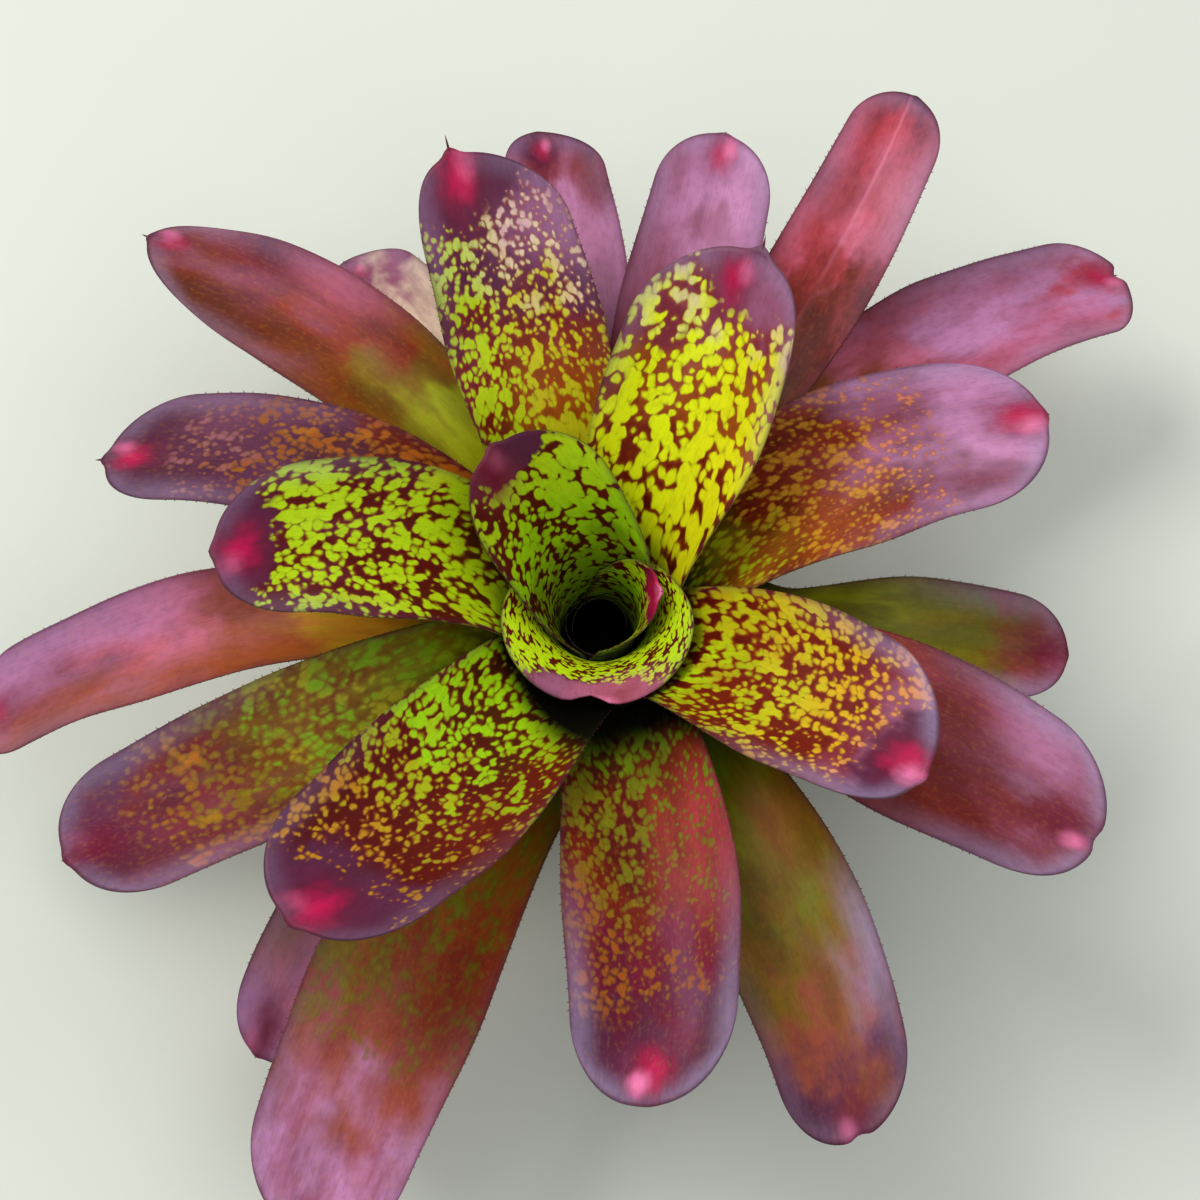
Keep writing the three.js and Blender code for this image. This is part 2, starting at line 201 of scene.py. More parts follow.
FLUSH_DRIFT = 0.35  # lengths from here to the reach of the painted highlight are shares of the flush's radius
FLUSH_EDGE = (0.3, 1.6)
FLUSH_STRENGTH = 0.85
FLUSH_CORE = 0.95
SPOT_BESIDE = 0.45
SPOT_BEFORE = 0.3
SPOT_REACH = 0.6
SPOT_RAGGEDNESS = 0.5
FIBRE_EDGE = (0.35, 0.7)
FIBRE_STRENGTH = 0.08
MOTTLE_STRENGTH = 0.15
SCURF_LINES = 0.4
SCURF_FILM = 0.25
ROUGHNESS = 0.36
ROUGHNESS_RANGE = 0.16
LEAF_SPECULAR = 0.13
FIBRE_HEIGHT = 0.7
BLOTCH_HEIGHT = 0.25
RELIEF = (0.3, 0.0003)  # strength, and depth in metres


def leaf(azimuth, length, width, bend=0, sheath=84, neck=0.8, lean=0, droop=0, channel=8, cup=4, apex=0,
         notch=0, blunt=0.46, spine=0.4, keel=0.0, streak=4.0, streak_run=115):
    """The sizes of one leaf, in mm and degrees.

    azimuth: where it points. bend: how far it turns aside on the way. lean, droop: how much further its
    blade and its tip lean out. sheath: width of its sheath. neck: width above that, as a share of width.
    channel, cup: how far its margins fold up, and how much less they do so at the tip.
    apex: where its point is across it, from -1 to 1. notch: how deep the point is set in.
    blunt: how long the curve of its tip is, as a share of its width.
    spine, keel: how large its tip spine and the groove along its middle are.
    streak: how far its pattern is drawn out lengthwise near the foot. streak_run: where that has faded.
    """
    return SimpleNamespace(**locals())


LEAVES = [
    leaf(95, 34, 30, sheath=38, neck=1.1, channel=0, cup=0, blunt=0.25, spine=0),
    leaf(235, 42, 38, sheath=46, neck=1.1, channel=0, cup=0, blunt=0.25, spine=0),
    leaf(0, 84, 44, sheath=56, neck=1.1, channel=0, cup=0, streak=0.4, streak_run=200),
    leaf(122, 140, 60, sheath=66, neck=1.22, channel=0, bend=9, apex=0.1, spine=0.5, streak=0.4),
    leaf(265, 99, 112, neck=1, channel=0, cup=0, droop=44, notch=6, blunt=0.1, streak=0.35,
         streak_run=300),
    leaf(58, 198, 70, sheath=64, bend=7, lean=4, apex=-0.25, spine=1.2),
    leaf(163, 204, 62, sheath=66, bend=18, lean=6, channel=5),
    leaf(328, 204, 66, bend=-1, lean=4, channel=7, apex=-0.3),
    leaf(240, 231, 70, bend=-9, lean=4, apex=0.1, spine=0.5),
    leaf(107, 220, 61, apex=0.3, spine=1.3),
    leaf(30, 223, 64, bend=-13, apex=0.15),
    leaf(282, 245, 64, bend=-7, notch=1, spine=0.3),
    leaf(210, 260, 56, sheath=76, channel=6),
    leaf(148, 227, 47, sheath=66, bend=17, channel=4, apex=0.15, spine=0.7),
    leaf(73, 221, 49, bend=2),
    leaf(336, 237, 65, bend=-3, channel=5, apex=-0.1, notch=3),
    leaf(54, 264, 42, sheath=70, bend=5, channel=4, apex=-0.1, keel=1.0, spine=0.3),
    leaf(303, 249, 55, bend=-8, notch=3),
    leaf(129, 255, 49, bend=12, apex=-0.3, blunt=1.25, spine=0.7),
    leaf(242, 280, 65, bend=3, spine=0.5),
    leaf(94, 224, 43, bend=2, apex=0.2, spine=0.3),
    leaf(354, 202, 43, bend=1, keel=0.6, spine=0.3),
    leaf(179, 266, 43, bend=10, spine=0.5),
    leaf(44, 281, 49, bend=-9, apex=0.2, notch=4, spine=0.6),
    leaf(227, 232, 42, bend=6, apex=-0.2),
    leaf(119, 204, 40, bend=5),
]

# ---- Colours, as sRGB ----
PALETTE = {
    "lime": "e8f40e",
    "yellow": "dcaa18",
    "green": "b4d410",
    "leaf_green": "9cd00e",
    "citron": "c4bc14",
    "moss": "a4ac10",
    "fern": "74980c",
    "deep_green": "33480a",
    "olive": "6e6c08",
    "bronze": "80600a",
    "umber": "6e3c06",
    "rust": "9c4c10",
    "amber": "c0801c",
    "orange": "b0580c",
    "salmon": "dc7c66",
    "cream": "e0c4a8",
    # painted shade down in the cup: on the feet of the inner leaves and on the stem's top
    "shade_black": "060402",
    "dark": "340c04",
    "sepia": "4a2004",
    "oxblood": "560e06",
    "maroon": "701a08",
    "brick": "8e2e16",
    "russet": "984632",
    "crimson": "b83c4a",
    "rose": "c8647c",
    "blossom": "ec8aa6",
    "mauve": "945470",
    "orchid": "c080ac",
    "lilac": "a090b4",
    "plum": "582440",
    "garnet": "822e3a",
    "wine": "6c0c2c",
    "magenta": "c4124e",
    "pink": "f07cac",
    "scurf": "8f8f7c",
    "bark": "5b4630",
    "straw": "a38a5c",
}


def linear(name):
    """A palette colour as linear RGBA."""
    code = PALETTE[name]
    channels = [int(code[i:i + 2], 16) / 255 for i in (0, 2, 4)]
    return tuple(c / 12.92 if c <= 0.04045 else ((c + 0.055) / 1.055) ** 2.4 for c in channels) + (1.0,)


def look(ground, patch="olive 0, russet 1", cover=((0, 0.0),), cloud=None, clouding=0.5, size=6.0,
         softness=0.35, age=0.0, lopsided=0.0, aside=None, tints=(), rim=0.2, tip="plum", tip_reach=0,
         tip_flat=1, blush=7, blush_back=8, blush_aside=0.0, blush_flat=0.7, blush_colour="wine",
         blush_core="magenta", blushing=0.8, glow=0.5, glow_side=-1, halo="umber", specks=0.0, shade=0.1,
         sheen=0.0, midline=0.0, depth=0.0, foot=(-10, 45), foot_lean=0):
    """How one leaf is coloured.

    ground, cloud: colours, each with its place along the leaf as a share of the length. The cloud comes and
    goes over the ground, as strongly as clouding says.
    patch: the light blotches' colours along the leaf. cover: stops of place and the share they cover.
    size: spacing of the larger blotches, in mm. softness: of their edge.
    age: how many blotches have turned amber. halo: the colour round a blotch.
    lopsided: extra cover on the anticlockwise half, taken from the other.
    aside: (side, colour, strength) of the blotches towards one margin.
    tints: (side, colour, where across it starts, strength, from place, to place) of one margin.
    rim: strength of the painted lilac sheen along the margins near the tip.
    tip: colour of the plain ground round the tip's point, which reaches tip_reach mm from it.
    blush: radius in mm of the flush. Its middle is blush_back behind the tip's point and blush_aside beside
    it. blushing: its strength. tip_flat, blush_flat: above 1 the area is shorter than it is broad.
    glow: strength of the painted pink highlight in it, on side glow_side of its middle.
    specks: strength of small amber spots. midline: of a pale line along the middle.
    shade, sheen: strength of broad dark clouds, and of the painted lilac sheen between them.
    depth: strength of the painted shade on the leaf's foot, down in the cup. foot: where that painted shade
    starts to fade and ends, in mm past the bowl. foot_lean: how much further it reaches at the
    anticlockwise margin than at the middle, in mm.
    """
    return SimpleNamespace(**locals())


# The heart leaves' ground is darkest at the foot: painted shade down in the cup.
HEART_GROUND = "black 0.25, dark 0.5, oxblood 0.8"
HEART_GREENS = "fern 0.2, fern 0.5, leaf_green 0.7, green 0.9"
# The two leaves that line the throat are painted dark all over: painted shade down in the cup.
INNERMOST = look("black 0.3", "deep_green 0.3", [(0.2, 0.6)], depth=1, foot=(35, 60), rim=0, blush=0,
                 shade=0.3, sheen=0.3)
# In the outer leaves' tints and clouds, the orchid, lilac and rose stand partly for their own colour and
# partly for painted sheen.
LOOKS = [
    INNERMOST,
    INNERMOST,
    # 03
    look(HEART_GROUND, HEART_GREENS, [(0.2, 0.62)], tip="wine", tip_reach=12, depth=0.9, foot=(4, 30),
         rim=0, blush=8, blush_back=3, blush_colour="magenta", blushing=0.9, glow=0.8, glow_side=0),
    # 04
    look(HEART_GROUND, HEART_GREENS, [(0.2, 0.6), (0.6, 0.68), (0.9, 0.68)], size=5.4, lopsided=-0.25,
         tip_reach=17, depth=0.95, foot=(4, 26), rim=0, blush=9, blush_aside=6, blush_back=9,
         blush_colour="garnet", blush_core="wine", glow=0.2),
    # 05
    look(HEART_GROUND, "fern 0.3, leaf_green 0.5, green 0.75", [(0.3, 0.64), (0.9, 0.7)], size=4.2,
         depth=0.9, foot=(0, 25), tip="mauve", tip_reach=26, tip_flat=2.4, blush=15, blush_back=3,
         blush_aside=10, blush_flat=1.8, blush_colour="rose", blush_core="garnet", blushing=0.7, glow=0.9,
         rim=0, shade=0.15),
    # 06
    look("sepia 0.3, oxblood 0.45, maroon 0.6, rust 0.74, garnet 0.86, mauve 0.95",
         "green 0.25, lime 0.42, lime 0.82, cream 0.94", [(0.25, 0.7), (0.49, 0.76), (0.6, 0.7),
         (0.83, 0.62), (1, 0.5)], lopsided=-0.08, tip="mauve", tip_reach=22, halo="orange",
         aside=(-1, "yellow", 0.3), blush=8, blush_aside=7, blush_back=12, blush_flat=0.6, rim=0.3,
         sheen=0.1),
    # 07
    look("sepia 0.3, sepia 0.48, oxblood 0.66", "moss 0.25, green 0.5, green 0.9",
         [(0.25, 0.64), (0.6, 0.6), (0.83, 0.56), (0.95, 0.35)], size=4.8, softness=0.6, age=0.2,
         lopsided=-0.12, halo="rust", tip_reach=24, blush=12, blush_aside=2, blush_back=10, blush_flat=1,
         glow=0.3, glow_side=1, sheen=0.05),
    # 08
    look("dark 0.3, oxblood 0.45, maroon 0.6, maroon 0.74, garnet 0.86, mauve 0.95",
         "moss 0.25, green 0.45, moss 0.58, citron 0.68, yellow 0.8, salmon 0.95", [(0.25, 0.6),
         (0.5, 0.54), (0.7, 0.48), (0.83, 0.38), (1, 0.2)], size=4.6, softness=0.5, age=0.4, lopsided=0.1,
         halo="orange", aside=(1, "yellow", 0.35), tip_reach=25, rim=0.5, blush=10, blush_aside=3,
         blush_back=9, glow=0.8, depth=1, foot=(46, 60), foot_lean=-22),
    # 09
    # Its ground is darkest at the foot: painted shade down in the cup.
    look("black 0.3, sepia 0.5, oxblood 0.65, oxblood 0.8, plum 0.92",
         "moss 0.25, leaf_green 0.45, leaf_green 0.6, moss 0.7, amber 0.84", [(0.3, 0.54), (0.5, 0.5),
         (0.6, 0.44), (0.7, 0.36), (0.82, 0.22), (0.95, 0.06)], size=4.6, softness=0.6, age=0.2,
         lopsided=-0.18, halo="rust", aside=(1, "bronze", 0.4), tip_reach=27,
         tints=[(1, "maroon", 0.2, 0.5, 0.45, 0.85)], blush=12, blush_back=10, blush_flat=0.9, glow=0.2,
         rim=0.15, depth=1, foot=(62, 80), foot_lean=22, shade=0.15),
    # 10
    look("sepia 0.3, maroon 0.42, umber 0.52, maroon 0.66, plum 0.8",
         "green 0.25, lime 0.38, citron 0.5, citron 0.7, cream 0.84, orchid 0.95", [(0.25, 0.72),
         (0.4, 0.72), (0.5, 0.62), (0.62, 0.54), (0.72, 0.44), (0.85, 0.42), (1, 0.2)], size=4.2,
         softness=0.5, age=0.3, lopsided=0.12, halo="orange", aside=(1, "green", 0.8),
         tints=[(-1, "orange", -0.4, 0.6, 0.42, 0.72), (-1, "orchid", 0.2, 0.6, 0.74, 1.0)], tip_reach=25,
         blush=10, blush_back=9, blush_flat=0.6, glow=0.3, sheen=0.1),
    # 11
    look("deep_green 0.3, olive 0.42, maroon 0.54, brick 0.66, mauve 0.78, orchid 0.9",
         "green 0.3, moss 0.45, amber 0.56, amber 0.68, salmon 0.8", [(0.3, 0.54), (0.46, 0.46),
         (0.58, 0.34), (0.7, 0.28), (0.78, 0.14), (0.86, 0.0)], size=4, softness=0.9, age=0.3,
         halo="orange", cloud="oxblood 0.5, maroon 0.66, orchid 0.85", clouding=0.6, blush=9,
         blush_back=9, glow=0.6, shade=0.35, sheen=0.15, rim=0.4, specks=0.1,
         tints=[(-1, "rust", 0.2, 0.6, 0.3, 0.75), (-1, "garnet", 0.3, 0.5, 0.75, 1.1)]),
    # 12
    look("sepia 0.4, oxblood 0.55, maroon 0.68, wine 0.8, plum 0.92",
         "deep_green 0.3, fern 0.42, olive 0.56, bronze 0.66, rust 0.8, russet 0.95", [(0.25, 0.7),
         (0.42, 0.6), (0.52, 0.36), (0.66, 0.2), (0.84, 0.1), (0.9, 0.0)], size=4.3, softness=1.1,
         age=0.15, lopsided=-0.3, rim=0.5, blush=10, blush_back=12, blush_flat=0.8, glow=1.0,
         tints=[(1, "brick", 0.1, 0.8, 0.35, 0.75), (1, "crimson", 0.45, 0.7, 0.45, 0.85)], depth=0.95,
         foot=(54, 96), shade=0.25, sheen=0.1, specks=0.1),
    # 13
    look("olive 0.3, bronze 0.45, umber 0.58, umber 0.7, maroon 0.8, plum 0.93",
         "moss 0.3, fern 0.45, fern 0.64, bronze 0.75, orange 0.85", [(0.3, 0.55), (0.6, 0.48),
         (0.75, 0.3), (0.85, 0.14), (0.93, 0.0)], age=0.4, size=5.2, softness=1.6, rim=0.35, blush=9,
         blush_back=11, blush_flat=0.6, blush_core="wine", glow=0.1, halo="bronze",
         cloud="fern 0.45, bronze 0.62, plum 0.85", shade=0.3, sheen=0.05, specks=0.12,
         tints=[(1, "umber", 0.0, 0.6, 0.3, 0.7), (1, "garnet", 0.0, 0.7, 0.66, 1.0)]),
    # 14
    look("dark 0.3, maroon 0.46, maroon 0.6, plum 0.74, plum 0.93",
         "orange 0.3, orange 0.5, orange 0.65, rust 0.78, mauve 0.9", [(0.3, 0.5), (0.6, 0.46),
         (0.75, 0.28), (0.86, 0.12), (0.93, 0.0)], size=4, softness=1.2, age=0.3, halo="rust", rim=0.3,
         tints=[(-1, "mauve", 0.4, 0.3, 0.7, 1.0)], shade=0.35, sheen=0.05, specks=0.087),
    # 15
    look("olive 0.3, brick 0.55, mauve 0.68, mauve 0.8, orchid 0.9",
         cloud="garnet 0.5, garnet 0.75, orchid 0.85", specks=0.052, rim=0.3,
         tints=[(1, "garnet", 0.35, 0.7, 0.3, 1.1), (-1, "orchid", 0.1, 0.6, 0.6, 1.1)], blushing=0.6,
         shade=0.25, sheen=0.3),
    # 16
    look("olive 0.3, maroon 0.46, brick 0.6, garnet 0.74, garnet 0.86, mauve 0.97",
         cloud="rust 0.45, maroon 0.65, maroon 0.85", specks=0.12, rim=0.5,
         tints=[(1, "olive", 0.2, 0.7, 0.3, 0.5), (1, "orchid", 0.1, 0.7, 0.74, 1.0),
         (-1, "brick", 0.2, 0.6, 0.6, 0.9)], blush=9, blush_back=12, blush_core="wine", glow=0.7,
         shade=0.25, sheen=0.1, clouding=0.6),
    # 17
    look("deep_green 0.3, sepia 0.45, oxblood 0.6, maroon 0.7, rose 0.78, crimson 0.93, plum 1",
         cloud="umber 0.5, crimson 0.7, garnet 0.9", specks=0.07, midline=0.35,
         tints=[(-1, "blossom", -0.1, 0.7, 0.72, 1.0), (1, "crimson", 0.2, 0.6, 0.6, 1.1)], blush=0,
         rim=0.3, shade=0.3, sheen=0.05),
    # 18
    look("fern 0.35, olive 0.5, olive 0.62, bronze 0.72, russet 0.84, plum 0.95",
         cloud="fern 0.45, umber 0.6, bronze 0.8, garnet 0.95", specks=0.07, blush=8, blush_core="wine",
         blushing=0.5, tints=[(1, "rust", -0.1, 0.6, 0.4, 0.7), (-1, "fern", 0.0, 0.5, 0.3, 0.6),
         (1, "lilac", 0.4, 0.65, 0.62, 0.95), (1, "umber", 0.2, 0.7, 0.9, 1.2)], shade=0.3),
    # 19
    look("moss 0.3, moss 0.46, bronze 0.56, brick 0.68, garnet 0.8, maroon 0.95",
         cloud="moss 0.4, umber 0.6, plum 0.9", specks=0.12, rim=0.3, shade=0.35, sheen=0.15,
         tints=[(-1, "rose", 0.25, 0.7, 0.6, 0.88), (1, "umber", 0.2, 0.6, 0.3, 1.1)], blush=6,
         blushing=0.5),
    # 20
    look("olive 0.3, rust 0.46, brick 0.62, russet 0.76, orchid 0.96", "fern 0.3, olive 0.6, bronze 0.75",
         [(0.3, 0.4), (0.6, 0.26), (0.74, 0.1), (0.8, 0.0)], softness=2.6, lopsided=-0.4,
         cloud="olive 0.4, rust 0.6, garnet 0.75", specks=0.12,
         tints=[(-1, "bronze", 0.2, 0.7, 0.3, 0.75), (1, "brick", 0.4, 0.5, 0.5, 0.9)], blush=5,
         blushing=0.3, shade=0.2, sheen=0.2),
    # 21
    look("olive 0.3, mauve 0.6, mauve 0.8, garnet 0.9, plum 1",
         cloud="garnet 0.6, orchid 0.85, garnet 0.95", specks=0.052,
         tints=[(-1, "orchid", 0.1, 0.5, 0.5, 0.9)], blush=5, blushing=0.5, shade=0.25, sheen=0.2),
    # 22
    look("deep_green 0.3, deep_green 0.45, olive 0.56, olive 0.84, russet 0.97",
         cloud="fern 0.4, moss 0.6, bronze 0.8, umber 0.95", specks=0.07, rim=0.4, blush=10,
         blush_core="wine", glow=0.1, tints=[(-1, "mauve", 0.45, 0.8, 0.74, 1.1)], shade=0.25),
    # 23
    look("moss 0.3, amber 0.45, russet 0.56, rose 0.72, mauve 0.85",
         cloud="moss 0.4, rust 0.6, garnet 0.9", specks=0.087, tints=[(1, "rust", 0.2, 0.7, 0.4, 1.1),
         (-1, "orchid", 0.2, 0.6, 0.6, 1.1)], blushing=0.5, shade=0.25, sheen=0.25),
    # 24
    look("olive 0.3, rust 0.5, rose 0.6, orchid 0.76, orchid 0.92, crimson 1",
         cloud="umber 0.45, brick 0.6, mauve 0.75, crimson 0.95", specks=0.052, blushing=0.6, rim=0.4,
         shade=0.15, sheen=0.3, tints=[(1, "garnet", 0.4, 0.7, 0.5, 1.1),
         (-1, "crimson", 0.3, 0.6, 0.6, 1.1)]),
    # 25
    look("olive 0.3, rose 0.6, blossom 0.75, orchid 1", cloud="russet 0.5, orchid 0.9", clouding=0.3,
         specks=0.035, blush=8, blushing=0.7, blush_flat=0.5, blush_core="wine", glow=0.3,
         tints=[(-1, "olive", 0.3, 0.6, 0.5, 0.95)], shade=0.05, sheen=0.3),
    # 26
    look("olive 0.3, moss 0.6, cream 0.74, cream 0.86, mauve 0.96", cloud="russet 0.5, mauve 0.9",
         clouding=0.4, specks=0.035, blush=4, blushing=0.3, sheen=0.1,
         tints=[(1, "mauve", 0.4, 0.7, 0.6, 1.1)]),
]
LAST_LINING_LEAF = 2
LAST_HEART_LEAF = 5
LAST_YOUNG_LEAF = 10
LAST_FLECKED_LEAF = 14


def blend(pair, share):
    return pair[0] + (pair[1] - pair[0]) * share


def smooth(x):
    t = np.clip(x, 0.0, 1.0)
    return t * t * (3 - 2 * t)


def unit(vector):
    return vector / max(np.linalg.norm(vector), 1e-6)


# ---- Leaf shapes ----
def shell_of(order):
    """The bell that a leaf follows: a curve out from the stem, up the throat and out along the blade."""
    share = order / (len(LEAVES) - 1)
    attach_radius = blend(ATTACH_RADIUS, share)
    if order < LAST_HEART_LEAF:
        throat_radius = blend(HEART_THROAT_RADIUS, order / (LAST_HEART_LEAF - 1))
    else:
        throat_radius = blend(THROAT_RADIUS, share)
    reach = (math.cos(TUBE_LEAN) - math.cos(BOWL_LEAN)) / (BOWL_LEAN - TUBE_LEAN)
    return SimpleNamespace(
        attach_radius=attach_radius,
        attach_height=blend(ATTACH_HEIGHT, share),
        bowl=(throat_radius - attach_radius) / reach,
        tube=TUBE_LENGTH * (1 - share) ** TUBE_FADE,
        flare=blend(FLARE_LENGTH, share),
        blade_lean=blend(BLADE_LEAN, share ** BLADE_LEAN_RISE),
    )


def lean_at(sizes, shell, s):
    """Lean from the vertical, s mm along the leaf."""
    bowl_share = np.minimum(s / shell.bowl, 1)
    flare_share = np.clip((s - shell.bowl - shell.tube) / shell.flare, 0, 1)
    eased = 1 - (1 - flare_share) ** 2
    shared = blend((BOWL_LEAN, TUBE_LEAN), bowl_share) + (shell.blade_lean - TUBE_LEAN) * eased
    own = sizes.lean * smooth((s - shell.bowl) / LEAN_RUN)
    droop = sizes.droop * smooth((s - sizes.length) / DROOP_RUN + 1)
    return shared + np.radians(own + droop)


def middle_line(sizes, shell):
    """The leaf's middle line in steps of 1 mm: distance, radius, height and lean."""
    s = np.arange(0.0, sizes.length + 2 * CUSP_REACH + 1)
    lean = lean_at(sizes, shell, s + 0.5)
    radius = shell.attach_radius + np.concatenate([[0], np.cumsum(np.sin(lean))[:-1]])
    height = shell.attach_height + np.concatenate([[0], np.cumsum(np.cos(lean))[:-1]])
    return s, radius, height, lean_at(sizes, shell, s)


def width_at(sizes, shell, s):
    neck = sizes.neck * sizes.width
    sheath = blend((SHEATH_FOOT_WIDTH, sizes.sheath), smooth(s / shell.bowl / SHEATH_FULL))
    necked = blend((sheath, neck), smooth((s - NECK_START * shell.bowl) / NECK_RUN))
    blade_start = shell.bowl + BLADE_START
    widened = (sizes.width - neck) * smooth((s - blade_start) / (BLADE_FULL * sizes.length - blade_start))
    taper = TAPER * smooth((s / sizes.length - TAPER_START) / (1 - TAPER_START))
    return (necked + widened) * (1 - taper)


def grain_distance(sizes, shell):
    """The distance on the pattern for each mm along the leaf. It is drawn out lengthwise near the foot."""
    s = np.arange(0.0, sizes.length + 2 * CUSP_REACH + 1)
    stretch = blend((sizes.streak, BLADE_STRETCH), smooth((s - shell.bowl) / sizes.streak_run))
    return s, np.cumsum(1 / stretch)


def leaf_surface(sizes, order):
    """The leaf's middle surface as a grid, with the values that its skin is painted from."""
    shell = shell_of(order)
    bowl_end = shell.bowl + BOWL_MARGIN
    bowl_rows = np.linspace(0, bowl_end, BOWL_ROWS, endpoint=False)
    blade_rows = np.linspace(bowl_end, sizes.length, BLADE_ROWS + 1)
    distance = np.concatenate([bowl_rows, blade_rows])[:, None]
    along = distance / sizes.length
    line_s, line_radius, line_height, line_lean = middle_line(sizes, shell)

    even = np.linspace(-1, 1, COLUMNS + 1)[None, :]
    wave = np.sin(even * np.pi / 2)
    gathered = (wave + sizes.apex) / (1 + sizes.apex * wave)
    across = even + smooth((along - GATHER_START) / GATHER_RUN) * (gathered - even)
    from_apex = np.minimum(np.abs((across - sizes.apex) / (1 - sizes.apex * across)), 1)

    set_back = sizes.blunt * sizes.width * (1 - (1 - from_apex ** TIP_ROUNDNESS) ** (1 / TIP_ROUNDNESS))
    reach = CUSP_REACH * min(sizes.spine, 1) - sizes.notch
    cusp_run = max(CUSP_RUN, 2 * abs(reach))
    cusp = reach * np.exp(-(from_apex / CUSP_WIDTH) ** 2) * smooth((distance - sizes.length) / cusp_run + 1)
    s = distance - set_back * smooth((along - TIP_START) / (1 - TIP_START)) + cusp

    radius = np.interp(s, line_s, line_radius)
    height = np.interp(s, line_s, line_height)
    lean = np.interp(s, line_s, line_lean)
    half_width = width_at(sizes, shell, s) / 2
    sideways = across * half_width
    bend_share = np.maximum((s - shell.bowl) / (sizes.length - shell.bowl), 0) ** BEND_RISE
    angle = np.radians(sizes.azimuth + sizes.bend * bend_share) + sideways / radius
    upward = np.stack([-np.cos(lean) * np.cos(angle), -np.cos(lean) * np.sin(angle), np.sin(lean)], axis=-1)
    on_bell = np.stack([radius * np.cos(angle), radius * np.sin(angle), height], axis=-1)
    rise = rise_at(sizes, shell, order, s, across, from_apex)

    grain_s, grain_t = grain_distance(sizes, shell)
    thickness = MARGIN_THICKNESS + (LEAF_THICKNESS - MARGIN_THICKNESS) * (1 - across ** 4)
    from_end = np.maximum(sizes.length - set_back - s, 0)
    return SimpleNamespace(
        points=on_bell + upward * rise[..., None],
        to_face=upward * thickness[..., None] / 2,
        across=across,
        along=s / sizes.length,
        sideways=sideways,
        grain=np.interp(s, grain_s, grain_t),
        from_margin=np.minimum(half_width - np.abs(sideways), from_end),
        beside_point=sideways - sizes.apex * half_width,
        before_point=sizes.length - s,
        past_bowl=s - shell.bowl,
    )


def rise_at(sizes, shell, order, s, across, from_apex):
    """How far the surface stands off its bell: folded up, waved, and pinched round the tip's point."""
    fold = sizes.channel * smooth((s - shell.bowl - CHANNEL_START) / CHANNEL_RUN)
    cup = sizes.cup * smooth((s - sizes.length) / TIP_CUP_RUN + 1)
    free = smooth((s - shell.bowl - WAVE_START) / WAVE_RUN)
    long_wave, short_wave = [
        np.sin(2 * np.pi * s / wave.length + wave.shift * order + wave.slant * across)
        for wave in (LONG_WAVE, SHORT_WAVE)
    ]
    at_margin = SHORT_WAVE_SHARE * short_wave * across ** 2
    waves = WAVE_HEIGHT * free * (long_wave * (WAVE_IN_MIDDLE + across ** 2) + at_margin)
    keel = sizes.keel * KEEL_DEPTH * free * np.exp(-(across / KEEL_WIDTH) ** 2)
    ridges = PINCH_RIDGE_SHARE * np.exp(-(from_apex / PINCH_RIDGE_WIDTH) ** 2)
    groove = np.exp(-(from_apex / PINCH_WIDTH) ** 2) - ridges
    pinch = PINCH_DEPTH * min(2 * sizes.spine, 1) * groove * smooth((s - sizes.length) / PINCH_RUN + 1)
    return (fold - cup) * across ** 2 + waves - keel - pinch


def edge_loop(rows, columns):
    """Grid places once round the edge: foot, right margin, tip, left margin."""
    foot = [(0, c) for c in range(columns)]
    right = [(r, columns - 1) for r in range(1, rows)]
    tip = [(rows - 1, c) for c in range(columns - 2, -1, -1)]
    left = [(r, 0) for r in range(rows - 2, 0, -1)]
    return foot + right + tip + left


class MeshParts:
    """Collects vertices, faces and the values painted from, then makes one mesh object."""

    def __init__(self):
        self.vertices = []
        self.faces = []
        self.materials = []
        self.values = {}

    def add(self, vertices, faces, material=0, **values):
        start = len(self.vertices)
        self.vertices.extend(np.asarray(vertices, float).reshape(-1, 3) * MM)
        self.faces.extend(tuple(start + i for i in face) for face in faces)
        self.materials.extend([material] * len(faces))
        for name, value in values.items():
            self.values.setdefault(name, []).extend(np.asarray(value, float).reshape(-1, 3))

    def make(self, name, materials):
        mesh = bpy.data.meshes.new(name)
        mesh.from_pydata(self.vertices, [], self.faces)
        for material in materials:
            mesh.materials.append(material)
        mesh.polygons.foreach_set("material_index", self.materials)
        mesh.polygons.foreach_set("use_smooth", [True] * len(mesh.polygons))
        for attribute_name, value in self.values.items():
            if attribute_name == "uv":
                self.add_uv(mesh, np.array(value))
                continue
            attribute = mesh.attributes.new(attribute_name, "FLOAT_VECTOR", "POINT")
            attribute.data.foreach_set("vector", np.array(value, np.float32).ravel())
        mesh.validate()
        piece = bpy.data.objects.new(name, mesh)
        bpy.context.scene.collection.objects.link(piece)
        return piece

    @staticmethod
    def add_uv(mesh, uv):
        layer = mesh.uv_layers.new(name=UV_MAP)
        corners = np.zeros(len(mesh.loops), int)
        mesh.loops.foreach_get("vertex_index", corners)
        layer.data.foreach_set("uv", uv[corners, :2].astype(np.float32).ravel())


def leaf_values(surface, side, order):
    """What the skin is painted from, for one face of the leaf: side 1 is the upper face, 0 the lower."""
    shift = PATTERN_SHIFT[0] * order + PATTERN_SHIFT[1] * (1 - side)
    flat = np.zeros(surface.across.shape)
    u = UV_MARGIN + FACE_UV[0] * (surface.across + 1) / 2 + 0.5 * (1 - side)
    v = UV_MARGIN + FACE_UV[1] * np.clip(surface.along, 0, 1.02)
    return dict(
        leaf_place=np.stack([surface.across, surface.along, flat + side], -1),
        leaf_grain=np.stack([surface.sideways + shift, surface.grain, surface.past_bowl], -1),
        leaf_edge=np.stack([surface.from_margin, surface.beside_point, surface.before_point], -1),
        uv=np.stack([u, v, flat], -1),
    )


